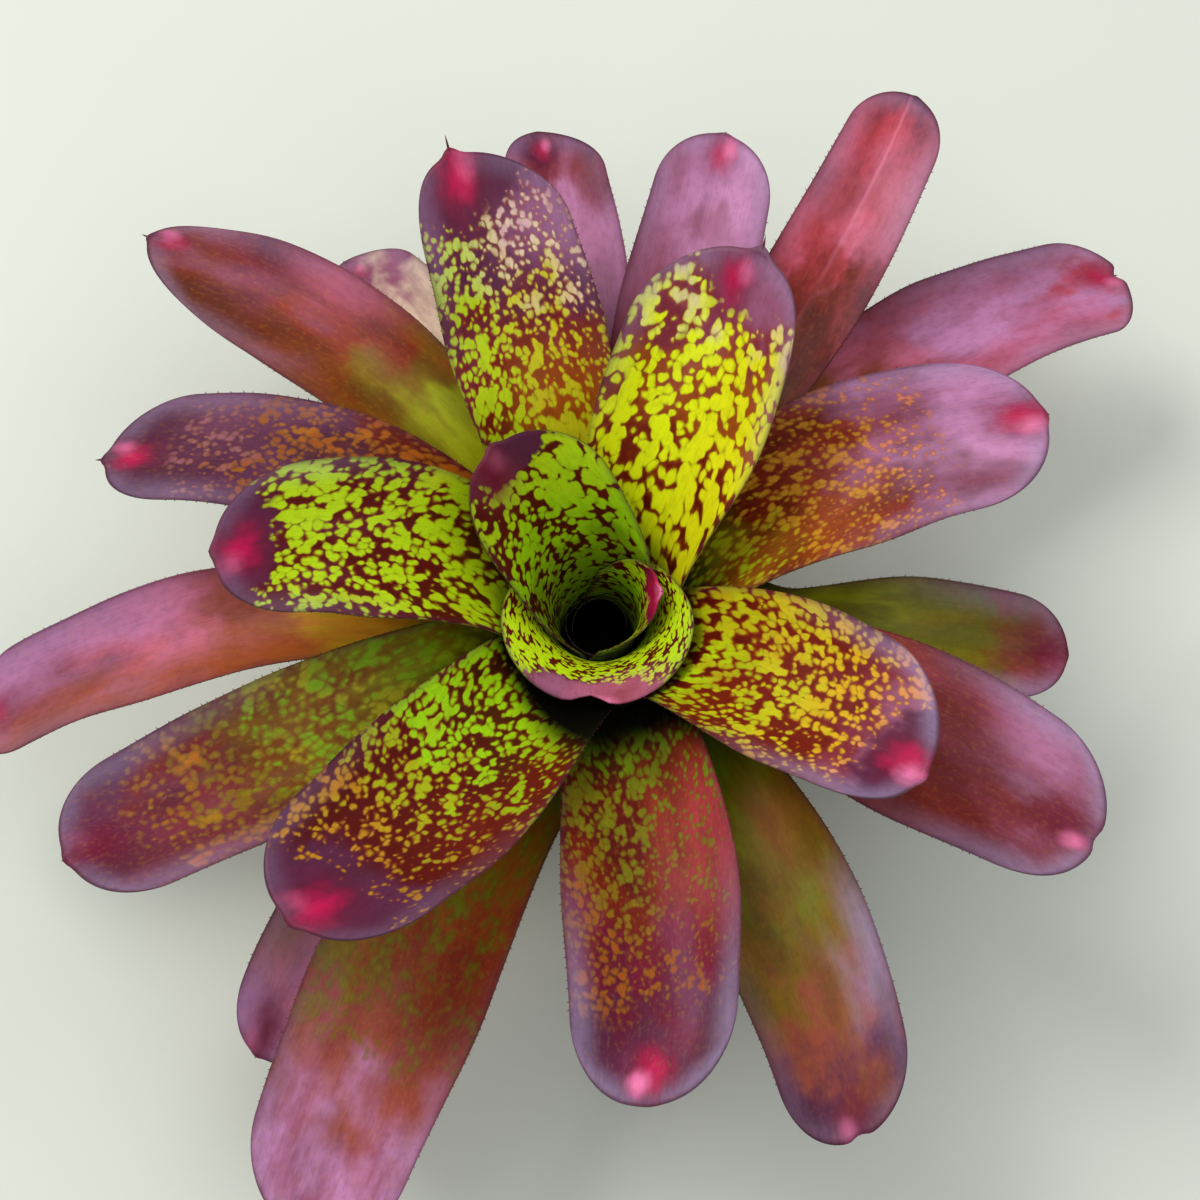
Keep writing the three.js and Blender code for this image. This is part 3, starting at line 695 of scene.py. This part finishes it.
def values_at(values, row, column, count):
    """The values at one place of a leaf, for each of count points."""
    return {name: np.repeat(value[row, column][None, :], count, axis=0) for name, value in values.items()}


def wall(rings, sides):
    """Four-sided faces between rings of points that follow each other."""
    faces = []
    for ring in range(rings - 1):
        for side in range(sides):
            after = (side + 1) % sides
            near = ring * sides
            far = near + sides
            faces.append((near + side, near + after, far + after, far + side))
    return faces


def caps(rings, sides):
    """The faces that close the first and the last ring."""
    return [tuple(range(sides))[::-1], tuple((rings - 1) * sides + side for side in range(sides))]


def ring_points(centre, sideways, upward, radius, sides):
    angles = [2 * math.pi * side / sides for side in range(sides)]
    return [centre + radius * (sideways * math.cos(angle) + upward * math.sin(angle)) for angle in angles]


def build_leaf(number, sizes, materials):
    order = number - 1
    surface = leaf_surface(sizes, order)
    rows, columns = surface.across.shape
    parts = MeshParts()
    index = np.arange(rows * columns).reshape(rows, columns)
    a, b, c, d = index[:-1, :-1], index[:-1, 1:], index[1:, 1:], index[1:, :-1]
    upper = np.stack([a, d, c, b], -1).reshape(-1, 4)
    lower = np.stack([a, b, c, d], -1).reshape(-1, 4)
    upper_values = leaf_values(surface, 1, order)
    parts.add(surface.points - surface.to_face, lower, **leaf_values(surface, 0, order))
    parts.add(surface.points + surface.to_face, upper, **upper_values)
    size = rows * columns
    ring = [index[place] for place in edge_loop(rows, columns)]
    strip = [(here, here + size, after + size, after) for here, after in zip(ring, ring[1:] + ring[:1])]
    parts.faces.extend(strip)
    parts.materials.extend([0] * len(strip))
    if sizes.spine:
        add_teeth(parts, surface, order, upper_values)
        add_spine(parts, surface, sizes, upper_values)
    piece = parts.make(f"leaf_{number:02d}_skin", materials)
    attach(piece, "root")
    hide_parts(f"leaf_{number:02d}")
    return piece


def add_teeth(parts, surface, order, values):
    """Small teeth along both margins, each a four-sided point leaning towards the tip."""
    random = np.random.default_rng(SEED + order)
    for column, inner in ((0, 1), (-1, -2)):
        margin = surface.points[:, column]
        steps = np.linalg.norm(np.diff(margin, axis=0), axis=1)
        travelled = np.concatenate([[0], np.cumsum(steps)])
        place = np.interp(TOOTH_START, surface.past_bowl[:, column], travelled)
        while place < travelled[-1] - TOOTH_END:
            row = min(max(int(np.searchsorted(travelled, place)) - 1, 0), len(margin) - 2)
            forward = (margin[row + 1] - margin[row]) / max(steps[row], 1e-6)
            outward = margin[row] - surface.points[row, inner]
            outward = unit(outward - forward * (outward @ forward))
            here = margin[row] + forward * (place - travelled[row])
            length = TOOTH_LENGTH * random.uniform(*TOOTH_LENGTHS)
            upward = surface.to_face[row, column] / 2
            add_tooth(parts, here, forward, outward, upward, length, values_at(values, row, column, 5))
            place += TOOTH_PITCH * random.uniform(*TOOTH_GAPS)


def add_tooth(parts, here, forward, outward, upward, length, values):
    root = here - outward * TOOTH_ROOT
    half = forward * TOOTH_WIDTH / 2
    base = [root - half, root + upward, root + half, root - upward]
    point = here + outward * length + forward * length * TOOTH_LEAN
    faces = [(0, 1, 4), (1, 2, 4), (2, 3, 4), (3, 0, 4), (0, 3, 2, 1)]
    parts.add(base + [point], faces, 1, **values)


def add_spine(parts, surface, sizes, values):
    """The tip's spine: a slender cone that leaves the blade's point and hooks up a little."""
    column = int(np.argmin(np.abs(surface.across[-1] - sizes.apex)))
    tip = surface.points[-1, column]
    forward = unit(tip - surface.points[-2, column])
    upward = unit(surface.to_face[-1, column])
    sideways = np.cross(forward, upward)
    length = SPINE_LENGTH * sizes.spine
    vertices = []
    for ring in range(SPINE_RINGS):
        share = ring / SPINE_RINGS
        centre = tip + forward * (length * share - SPINE_ROOT) + upward * (SPINE_HOOK * length * share ** 2)
        radius = SPINE_RADIUS * (1 - share) ** SPINE_TAPER
        vertices += ring_points(centre, sideways, upward, radius, SPINE_SIDES)
    vertices.append(tip + forward * (length - SPINE_ROOT) + upward * (SPINE_HOOK * length))
    last = (SPINE_RINGS - 1) * SPINE_SIDES
    faces = [tuple(range(SPINE_SIDES))]
    faces += [face[::-1] for face in wall(SPINE_RINGS, SPINE_SIDES)]
    for side in range(SPINE_SIDES):
        faces.append((last + (side + 1) % SPINE_SIDES, last + side, len(vertices) - 1))
    parts.add(vertices, faces, 1, **values_at(values, -1, column, len(vertices)))


def slot_of(number):
    if number <= LAST_HEART_LEAF:
        return "heart_leaf"
    if number <= LAST_YOUNG_LEAF:
        return "young_leaf"
    if number <= LAST_FLECKED_LEAF:
        return "flecked_leaf"
    return "outer_leaf"


# ---- Materials ----
class Shader:
    """A material's node tree, with a short call for each kind of node."""

    def __init__(self, name):
        self.material = bpy.data.materials.new(name)
        self.material.use_nodes = True
        self.nodes = self.material.node_tree.nodes
        self.links = self.material.node_tree.links
        self.nodes.clear()

    def feed(self, socket, value):
        if isinstance(value, bpy.types.NodeSocket):
            self.links.new(value, socket)
        else:
            socket.default_value = value

    def node(self, kind, inputs, **settings):
        """A new node. Each of its inputs is fed a plain value or what another node puts out."""
        node = self.nodes.new("ShaderNode" + kind)
        for name, setting in settings.items():
            setattr(node, name, setting)
        for name, value in inputs.items():
            self.feed(node.inputs[name], value)
        return node

    def math(self, operation, first, second=0.0):
        return self.node("Math", {0: first, 1: second}, operation=operation).outputs[0]

    def add(self, first, second):
        return self.math("ADD", first, second)

    def times(self, value, *factors):
        for factor in factors:
            value = self.math("MULTIPLY", value, factor)
        return value

    def minus(self, first, second):
        return self.math("SUBTRACT", first, second)

    def length(self, first, second):
        return self.math("SQRT", self.add(self.times(first, first), self.times(second, second)))

    def about_zero(self, value, size):
        """Turns a noise of 0 to 1 into one of -size to size."""
        return self.times(self.minus(value, 0.5), 2 * size)

    def step(self, value, low, high):
        """0 below low, 1 above high, smooth between them."""
        inputs = {"Value": value, "From Min": low, "From Max": high}
        return self.node("MapRange", inputs, interpolation_type="SMOOTHSTEP").outputs["Result"]

    def fall(self, value, low, high):
        """1 below low, 0 above high."""
        return self.minus(1.0, self.step(value, low, high))

    def ramp(self, value, stops, interpolation):
        """Colours along a value, from (place, linear colour) stops."""
        node = self.node("ValToRGB", {0: value})
        node.color_ramp.interpolation = interpolation
        elements = node.color_ramp.elements
        elements.remove(elements[1])
        for number, (place, colour) in enumerate(stops):
            element = elements[0] if number == 0 else elements.new(place)
            element.position = place
            element.color = colour
        return node.outputs["Color"]

    def colours_along(self, value, text):
        """Palette colours along a value, from a text such as "olive 0.3, brick 0.6"."""
        stops = [stop.split() for stop in text.split(", ")]
        return self.ramp(value, [(float(place), linear(name)) for name, place in stops], "EASE")

    def shares_along(self, value, pairs):
        """Shares of 0 to 1 along a value, from (place, share) pairs."""
        stops = [(place, (share, share, share, 1.0)) for place, share in pairs]
        return self.split(self.ramp(value, stops, "LINEAR"))[0]

    def mix(self, share, first, second):
        """From the first colour to the second one. A colour may be given by its name."""
        first, second = [linear(c) if isinstance(c, str) else c for c in (first, second)]
        return self.node("Mix", {"Factor": share, 6: first, 7: second}, data_type="RGBA").outputs[2]

    def attribute(self, name):
        """The three numbers of a mesh attribute."""
        return self.node("Attribute", {}, attribute_name=name).outputs["Vector"]

    def split(self, vector):
        return tuple(self.node("SeparateXYZ", {0: vector}).outputs)

    def vector_math(self, operation, *values):
        return self.node("VectorMath", dict(enumerate(values)), operation=operation).outputs[0]

    def scaled(self, vector, across, along):
        """Pattern coordinates in units of the given lengths in mm."""
        return self.vector_math("MULTIPLY", vector, (1 / across, 1 / along, 0.0))

    def noise(self, vector, across, along, detail=2.0, roughness=0.5, output=0):
        vector = self.scaled(vector, across, along)
        inputs = {"Vector": vector, "Scale": 1.0, "Detail": detail, "Roughness": roughness}
        return self.node("TexNoise", inputs, noise_dimensions="2D").outputs[output]

    def on_object(self):
        """Coordinates in the object's own space."""
        return self.node("TexCoord", {}).outputs["Object"]

    def noise_on_object(self, scale, detail=2.0):
        inputs = {"Vector": self.on_object(), "Scale": scale, "Detail": detail}
        return self.node("TexNoise", inputs).outputs[0]

    def warped(self, vector, size, amount):
        """The coordinates, pushed about by a noise of that size, in mm."""
        colours = self.noise(vector, size, size, detail=1.0, output="Color")
        centred = self.vector_math("SUBTRACT", colours, (0.5, 0.5, 0.5))
        return self.vector_math("MULTIPLY_ADD", centred, (2 * amount, 2 * amount, 0.0), vector)

    def from_dots(self, vector, spacing, smoothness):
        """Distance to the nearest of scattered points, in units of their spacing."""
        vector = self.scaled(vector, spacing, spacing)
        inputs = {"Vector": vector, "Scale": 1.0, "Smoothness": smoothness}
        node = self.node("TexVoronoi", inputs, voronoi_dimensions="2D", feature="SMOOTH_F1")
        return node.outputs["Distance"]

    def bump(self, height, strength, distance):
        inputs = {"Strength": strength, "Distance": distance, "Height": height}
        return self.node("Bump", inputs).outputs["Normal"]

    def finish(self, colour, roughness, normal, specular=0.5):
        """The surface itself."""
        inputs = {"Base Color": colour, "Roughness": roughness, "Normal": normal}
        surface = self.node("BsdfPrincipled", inputs)
        surface.inputs["Specular IOR Level"].default_value = specular
        self.node("OutputMaterial", {0: surface.outputs[0]})
        return self.material


class LeafSkin(Shader):
    """The skin of one leaf, laid on in coats from the ground up."""

    def __init__(self, number, paint):
        super().__init__(f"leaf_{number:02d}")
        self.paint = paint
        self.specular = LEAF_SPECULAR if number > LAST_LINING_LEAF else 0
        self.across, self.along, side = self.split(self.attribute("leaf_place"))
        self.on_top = self.step(side, 0.0, 0.2)
        self.grain = self.attribute("leaf_grain")
        _, _, self.past_bowl = self.split(self.grain)
        self.from_margin, self.beside_point, self.before_point = self.split(self.attribute("leaf_edge"))
        self.drifted = self.add(self.along, self.about_zero(self.grained("drift"), GROUND_DRIFT))
        self.colour = None

    def grained(self, name):
        """One of the noises in GRAINS, drawn out with the leaf."""
        grain = GRAINS[name]
        noise = self.noise(self.grain, grain.across, grain.along, grain.detail, grain.roughness)
        return self.step(noise, *grain.edge) if grain.edge else noise

    def coat(self, share, colour):
        """Lays a colour over what is there."""
        self.colour = self.mix(share, self.colour, colour)

    def material_of_all_coats(self):
        self.lay_ground()
        plain = self.lay_plain_tip()
        core = self.lay_blotches(plain)
        self.lay_light_and_shade(core)
        self.lay_rim()
        if self.paint.blush:
            self.lay_flush()
        fibres = self.grained("fibres")
        self.lay_fine_grain(fibres)
        self.lay_underside()
        roughness = self.add(ROUGHNESS, self.times(self.grained("gloss"), ROUGHNESS_RANGE))
        height = self.add(self.times(fibres, FIBRE_HEIGHT), self.times(core, BLOTCH_HEIGHT))
        return self.finish(self.colour, roughness, self.bump(height, *RELIEF), self.specular)

    def lay_ground(self):
        """Colours along the leaf with broken borders, clouds of other colours over them, tinted margins.
        Lilac and orchid in the clouds and tints are partly the leaf's own colour and partly painted sheen.
        """
        self.colour = self.colours_along(self.drifted, self.paint.ground)
        if self.paint.cloud:
            share = self.times(self.grained("cloud"), self.paint.clouding)
            self.coat(share, self.colours_along(self.drifted, self.paint.cloud))
        for side, colour, inner, strength, start, end in self.paint.tints:
            wander = self.about_zero(self.grained("tint_drift"), TINT_DRIFT)
            reach = self.add(self.times(self.across, side), wander)
            reach = self.step(reach, inner + TINT_EDGE[0], inner + TINT_EDGE[1])
            span = self.step(self.along, start, start + TINT_RUN)
            span = self.times(span, self.fall(self.along, end - TINT_RUN, end))
            self.coat(self.times(reach, span, strength), colour)

    def lay_plain_tip(self):
        """The plain ground round the tip's point. Gives where it is."""
        reach = self.paint.tip_reach
        ragged = self.about_zero(self.grained("tip_drift"), PLAIN_DRIFT * reach)
        flattened = self.times(self.before_point, self.paint.tip_flat)
        from_point = self.add(self.length(self.beside_point, flattened), ragged)
        plain = self.fall(from_point, PLAIN_EDGE[0] * reach, PLAIN_EDGE[1] * reach + LEAST_EDGE)
        self.coat(plain, self.paint.tip)
        return plain

    def lay_blotches(self, plain):
        """Light dots that run together into islands where they cover more. Gives where they are."""
        paint = self.paint
        size = paint.size
        cover = self.shares_along(self.along, paint.cover)
        present = self.times(self.step(cover, *COVERED_EDGE), self.fall(plain, *OFF_TIP_EDGE))
        crowds = self.noise(self.grain, CROWDS.across * size, CROWDS.along * size, 1.0)
        cover = self.add(cover, self.about_zero(crowds, CROWDS.strength))
        cover = self.minus(cover, self.times(plain, TIP_THINNING))
        cover = self.add(cover, self.times(self.across, paint.lopsided))
        warped = self.warped(self.grain, BLOTCH_WARP.across * size, BLOTCH_WARP.strength * size)
        islands = self.noise(warped, ISLANDS.across * size, ISLANDS.along * size)
        dots = self.minus(DOT_MIDDLE, self.from_dots(warped, DOT_SPACING * size, DOT_MERGING))
        level = self.add(self.about_zero(islands, ISLAND_WEIGHT), self.times(dots, DOT_WEIGHT))
        level = self.add(level, self.times(self.minus(cover, 0.5), COVER_WEIGHT))
        self.coat(self.times(self.step(level, *HALO_EDGE), present, HALO_STRENGTH), paint.halo)
        core = self.times(self.step(level, -paint.softness, paint.softness), present)
        self.coat(core, self.blotch_colour(level))
        return core

    def blotch_colour(self, level):
        """Colours along the leaf: amber in aged blotches, tinted to one side, olive at the edges."""
        paint = self.paint
        edge = [limit - AGED_SHIFT * paint.age for limit in AGED_EDGE]
        aged = self.step(self.grained("ageing"), *edge)
        colour = self.colours_along(self.drifted, paint.patch)
        colour = self.mix(self.times(aged, paint.age), colour, "amber")
        if paint.aside:
            side, tint, strength = paint.aside
            reach = self.step(self.times(self.across, side), *ASIDE_EDGE)
            colour = self.mix(self.times(reach, strength), colour, tint)
        return self.mix(self.times(self.fall(level, *BORDER_EDGE), BORDER_STRENGTH), colour, "olive")

    def lay_light_and_shade(self, core):
        """Broad dark clouds with painted lilac sheen between them, and the pale middle line."""
        broad = self.grained("broad")
        bare = self.minus(1.0, self.times(core, BLOTCH_SHELTER))
        self.coat(self.times(self.fall(broad, *SHADE_EDGE), self.paint.shade, bare), "dark")
        # Painted sheen: orchid laid where the broad noise is high, towards the tip.
        bloom = self.times(self.step(broad, *BLOOM_EDGE), self.step(self.along, *BLOOM_ALONG))
        self.coat(self.times(bloom, self.paint.sheen, bare), "orchid")
        if self.paint.midline:
            line = self.fall(self.math("ABSOLUTE", self.across), 0.0, MIDLINE_REACH)
            line = self.times(line, self.step(self.along, *MIDLINE_ALONG))
            self.coat(self.times(line, self.paint.midline), "blossom")

    def lay_rim(self):
        """Painted lilac sheen along the margins near the tip, and a dark edge all round."""
        # Painted sheen: lilac along the margins, growing towards the tip.
        rim = self.times(self.fall(self.from_margin, *RIM_EDGE), self.step(self.along, *RIM_ALONG))
        self.coat(self.times(rim, self.paint.rim), "lilac")
        for start, end, strength, colour in MARGIN_COATS:
            self.coat(self.times(self.fall(self.from_margin, start, end), strength), colour)

    def lay_flush(self):
        """The flush behind the tip's point, deeper in its middle, with a painted pink highlight in it."""
        paint = self.paint
        size = paint.blush
        ragged = self.about_zero(self.grained("tip_drift"), FLUSH_DRIFT * size)
        beside = self.add(self.beside_point, -paint.blush_aside)
        before = self.times(self.add(self.before_point, -paint.blush_back), paint.blush_flat)
        reach = self.add(self.length(beside, before), ragged)
        soft = self.fall(reach, FLUSH_EDGE[0] * size, FLUSH_EDGE[1] * size)
        self.coat(self.times(soft, FLUSH_STRENGTH * paint.blushing), paint.blush_colour)
        self.coat(self.times(self.fall(reach, 0.0, FLUSH_CORE * size), paint.blushing), paint.blush_core)
        # Painted highlight: a pink spot beside the flush's middle.
        spot_beside = self.add(beside, -SPOT_BESIDE * size * paint.glow_side)
        spot_before = self.add(before, SPOT_BEFORE * size)
        reach = self.add(self.length(spot_beside, spot_before), self.times(ragged, SPOT_RAGGEDNESS))
        self.coat(self.times(self.fall(reach, 0.0, SPOT_REACH * size), paint.glow), "pink")

    def lay_fine_grain(self, fibres):
        """Lengthwise fibres, small dark and amber spots, and painted shade on the foot, down in the cup."""
        self.coat(self.times(self.step(fibres, *FIBRE_EDGE), FIBRE_STRENGTH), "dark")
        self.coat(self.times(self.grained("mottle"), MOTTLE_STRENGTH), "dark")
        self.coat(self.times(self.grained("spots"), self.paint.specks), "amber")
        # Painted shade: the upper face darkens towards the foot, down in the cup.
        above_foot = self.minus(self.past_bowl, self.times(self.across, self.paint.foot_lean))
        dark_foot = self.times(self.fall(above_foot, *self.paint.foot), self.paint.depth)
        self.coat(self.times(dark_foot, self.on_top), "shade_black")

    def lay_underside(self):
        """Duller than the upper face, with a thin grey scurf in lengthwise lines."""
        scurf = self.add(self.times(self.grained("scurf"), SCURF_LINES), SCURF_FILM)
        under = self.mix(scurf, self.colour, "scurf")
        self.colour = self.mix(self.on_top, under, self.colour)


def spine_material():
    shader = Shader("leaf_spines")
    grain = shader.attribute("leaf_grain")
    colour = shader.colours_along(shader.noise(grain, 3, 3), "wine 0.3, dark 0.7")
    normal = shader.bump(shader.noise(grain, 0.5, 0.5), 0.2, 0.0002)
    return shader.finish(colour, 0.45, normal)


spines = spine_material()
for number, (sizes, paint) in enumerate(zip(LEAVES, LOOKS), start=1):
    build_leaf(number, sizes, [LeafSkin(number, paint).material_of_all_coats(), spines])


# ---- Stem and roots ----
FOOT_RADIUS = 16
STEM_TOP = 55
STEM_TO_LEAF = 1
BUD_RADIUS = 7.4
BUD_TOP = 0.02  # the flat left on top, as a share of the bud's radius
FOOT_BEVEL = 1
LOWEST_SCAR = 2
SCAR_COUNT = 5
SCAR_DEPTH = 0.7
SCAR_SWELL = 0.5  # between two scars, as a share of their depth
SCAR_CREASE = 0.8
SCAR_SHARPNESS = 6
RAGGEDNESS = ((0.12, 7, 1), (0.08, 17, -2))  # of each wave: height, number round the stem, turn per mm
STEM_SIDES = 120
STEM_RINGS = 90
ROOT_COUNT = 9
ROOT_RADIUS = (1.8, 1)
ROOT_SIDES = 14
ROOT_RINGS = 60
ROOT_REACH = (44, 58)
ROOT_START_RADIUS = 9
ROOT_START_HEIGHT = 10
ROOT_LANDING = 0.55
ROOT_CLEARANCE = 0.05
ROOT_SWAY = 0.13
ROOT_SWAY_WAVE = 4
ROOT_WRIGGLE = 0.012
ROOT_WRIGGLE_WAVE = 31
ROOT_KNOBS = 0.07
ROOT_KNOB_WAVE = 23
ROOT_UNEVENNESS = 0.3
ROOT_SPACING_STEP = 5
ROOT_REACH_STEP = 2.3
BLACK_FROM = (0.034, 0.042)  # heights on the stem, in metres, above which it is painted dark as shade down in the cup


def stem_radius(height, angle):
    """The stem's skin: a cone inside the leaf bases, with ragged rings where old leaves came away."""
    highest, lowest = ATTACH_HEIGHT
    share = min((height - highest) / (lowest - highest), 1)
    radius = blend(ATTACH_RADIUS, share) - STEM_TO_LEAF
    pitch = (lowest - LOWEST_SCAR) / SCAR_COUNT
    ragged = sum(size * math.sin(waves * angle + turn * height) for size, waves, turn in RAGGEDNESS)
    if height < lowest:
        turn = ((height - LOWEST_SCAR) / pitch) % 1
        crease = SCAR_CREASE * (1 - turn) ** SCAR_SHARPNESS
        radius += SCAR_DEPTH * (SCAR_SWELL * math.sin(math.pi * turn) - crease) + ragged
    return min(radius, FOOT_RADIUS)


def add_stem(parts):
    """The stem with the bud at its top, which closes the bottom of the cup."""
    vertices = []
    for height in np.linspace(0, STEM_TOP, STEM_RINGS):
        for side in range(STEM_SIDES):
            angle = 2 * math.pi * side / STEM_SIDES
            if height <= ATTACH_HEIGHT[0]:
                radius = stem_radius(height, angle) - max(0, FOOT_BEVEL - height)
            else:
                share = (height - ATTACH_HEIGHT[0]) / (STEM_TOP - ATTACH_HEIGHT[0])
                radius = BUD_RADIUS * math.sqrt(max(1 - share ** 2, BUD_TOP ** 2))
            vertices.append((radius * math.cos(angle), radius * math.sin(angle), height))
    parts.add(vertices, wall(STEM_RINGS, STEM_SIDES) + caps(STEM_RINGS, STEM_SIDES))


def root_path(order, rings):
    """Centres and radii along a root, which arches out of the stem and then lies along the surface."""
    place = order + ROOT_UNEVENNESS * math.sin(ROOT_SPACING_STEP * order)
    azimuth = 2 * math.pi * place / ROOT_COUNT
    reach = blend(ROOT_REACH, (1 + math.sin(ROOT_REACH_STEP * order)) / 2)
    path = []
    for ring in range(rings):
        share = ring / (rings - 1)
        radius = blend((ROOT_START_RADIUS, reach), share)
        thickness = blend(ROOT_RADIUS, share) * (1 + ROOT_KNOBS * math.sin(ROOT_KNOB_WAVE * share + order))
        lift = (1 - float(smooth(share / ROOT_LANDING))) * ROOT_START_HEIGHT
        sway = ROOT_SWAY * math.sin(ROOT_SWAY_WAVE * share + order) * share
        angle = azimuth + sway + ROOT_WRIGGLE * math.sin(ROOT_WRIGGLE_WAVE * share + 2 * order)
        height = lift + thickness + ROOT_CLEARANCE
        path.append((np.array([radius * math.cos(angle), radius * math.sin(angle), height]), thickness))
    return path


def add_tube(parts, path, sides):
    vertices = []
    for ring, (centre, thickness) in enumerate(path):
        forward = unit(path[min(ring + 1, len(path) - 1)][0] - path[max(ring - 1, 0)][0])
        sideways = unit(np.cross([0, 0, 1], forward))
        vertices += ring_points(centre, sideways, np.cross(forward, sideways), thickness, sides)
    parts.add(vertices, wall(len(path), sides) + caps(len(path), sides))


def stem_material():
    shader = Shader("fibrous_stem")
    fine = shader.noise_on_object(900, 5)
    broad = shader.noise_on_object(110, 4)
    colour = shader.colours_along(broad, "dark 0.3, bark 0.45, straw 0.65")
    colour = shader.mix(shader.times(shader.step(fine, 0.4, 0.65), 0.5), colour, "bark")
    _, _, height = shader.split(shader.on_object())
    # Painted shade: the stem's top, down in the cup, is painted dark.
    colour = shader.mix(shader.step(height, *BLACK_FROM), colour, "shade_black")
    return shader.finish(colour, 0.95, shader.bump(fine, 0.6, 0.0008), 0.02)


def build_stem():
    parts = MeshParts()
    add_stem(parts)
    for order in range(ROOT_COUNT):
        add_tube(parts, root_path(order, ROOT_RINGS), ROOT_SIDES)
    piece = parts.make("rooted_stem", [stem_material()])
    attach(piece, "root")
    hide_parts("stem")


build_stem()

# ---- Floor, light and camera ----
FLOOR_SIZE = 12.0
CAMERA_TARGET = Vector((0, 0.0021, 0.1126))
CAMERA_ELEVATION = math.radians(74)
CAMERA_DISTANCE = 1.25
CAMERA_LENS = 104.25
SENSOR_WIDTH = 36
FLOOR_COLOURS = ((0.66, 0.69, 0.60, 1), (0.72, 0.74, 0.66, 1))
SKY_COLOUR = (0.92, 0.95, 1.0, 1)
SKY_STRENGTH = 0.35
LIGHT_TARGET = Vector((0, 0, 0.1))
SOFTBOXES = [  # name, place, size, power, colour
    ("key", (-0.9, 0.8, 1.9), 1.0, 30, (1.0, 0.98, 0.95)),
    ("overhead", (0.5, -0.2, 2.6), 2.4, 32, (0.94, 0.96, 1.0)),
]


def aimed(thing, place, target):
    thing.location = place
    thing.rotation_euler = (target - place).to_track_quat("-Z", "Y").to_euler()
    bpy.context.scene.collection.objects.link(thing)


def add_floor():
    mesh = bpy.data.meshes.new("floor")
    half = FLOOR_SIZE / 2
    corners = [(-half, -half, 0), (half, -half, 0), (half, half, 0), (-half, half, 0)]
    mesh.from_pydata(corners, [], [(0, 1, 2, 3)])
    floor = bpy.data.objects.new("floor", mesh)
    bpy.context.scene.collection.objects.link(floor)
    shader = Shader("pale_floor")
    mottle = shader.noise_on_object(3)
    colour = shader.mix(mottle, *FLOOR_COLOURS)
    mesh.materials.append(shader.finish(colour, 0.9, shader.bump(mottle, 0.05, 0.001)))
    floor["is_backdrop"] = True


def add_softbox(name, place, size, power, colour):
    light = bpy.data.lights.new(name, "AREA")
    light.size = size
    light.energy = power
    light.color = colour
    aimed(bpy.data.objects.new(name, light), Vector(place), LIGHT_TARGET)


def add_world():
    world = bpy.data.worlds.new("studio")
    world.use_nodes = True
    background = world.node_tree.nodes["Background"]
    background.inputs["Color"].default_value = SKY_COLOUR
    background.inputs["Strength"].default_value = SKY_STRENGTH
    bpy.context.scene.world = world


def add_camera():
    lens = bpy.data.cameras.new("camera")
    lens.lens = CAMERA_LENS
    lens.sensor_width = SENSOR_WIDTH
    camera = bpy.data.objects.new("camera", lens)
    back = Vector((0, -math.cos(CAMERA_ELEVATION), math.sin(CAMERA_ELEVATION)))
    aimed(camera, CAMERA_TARGET + back * CAMERA_DISTANCE, CAMERA_TARGET)
    bpy.context.scene.camera = camera


add_floor()
for softbox in SOFTBOXES:
    add_softbox(*softbox)
add_world()
add_camera()
bpy.context.scene.view_settings.view_transform = "Standard"

visual_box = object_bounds()
sizes_now = {"cad": [list(corner) for corner in cad_box], "visual": [list(corner) for corner in visual_box]}
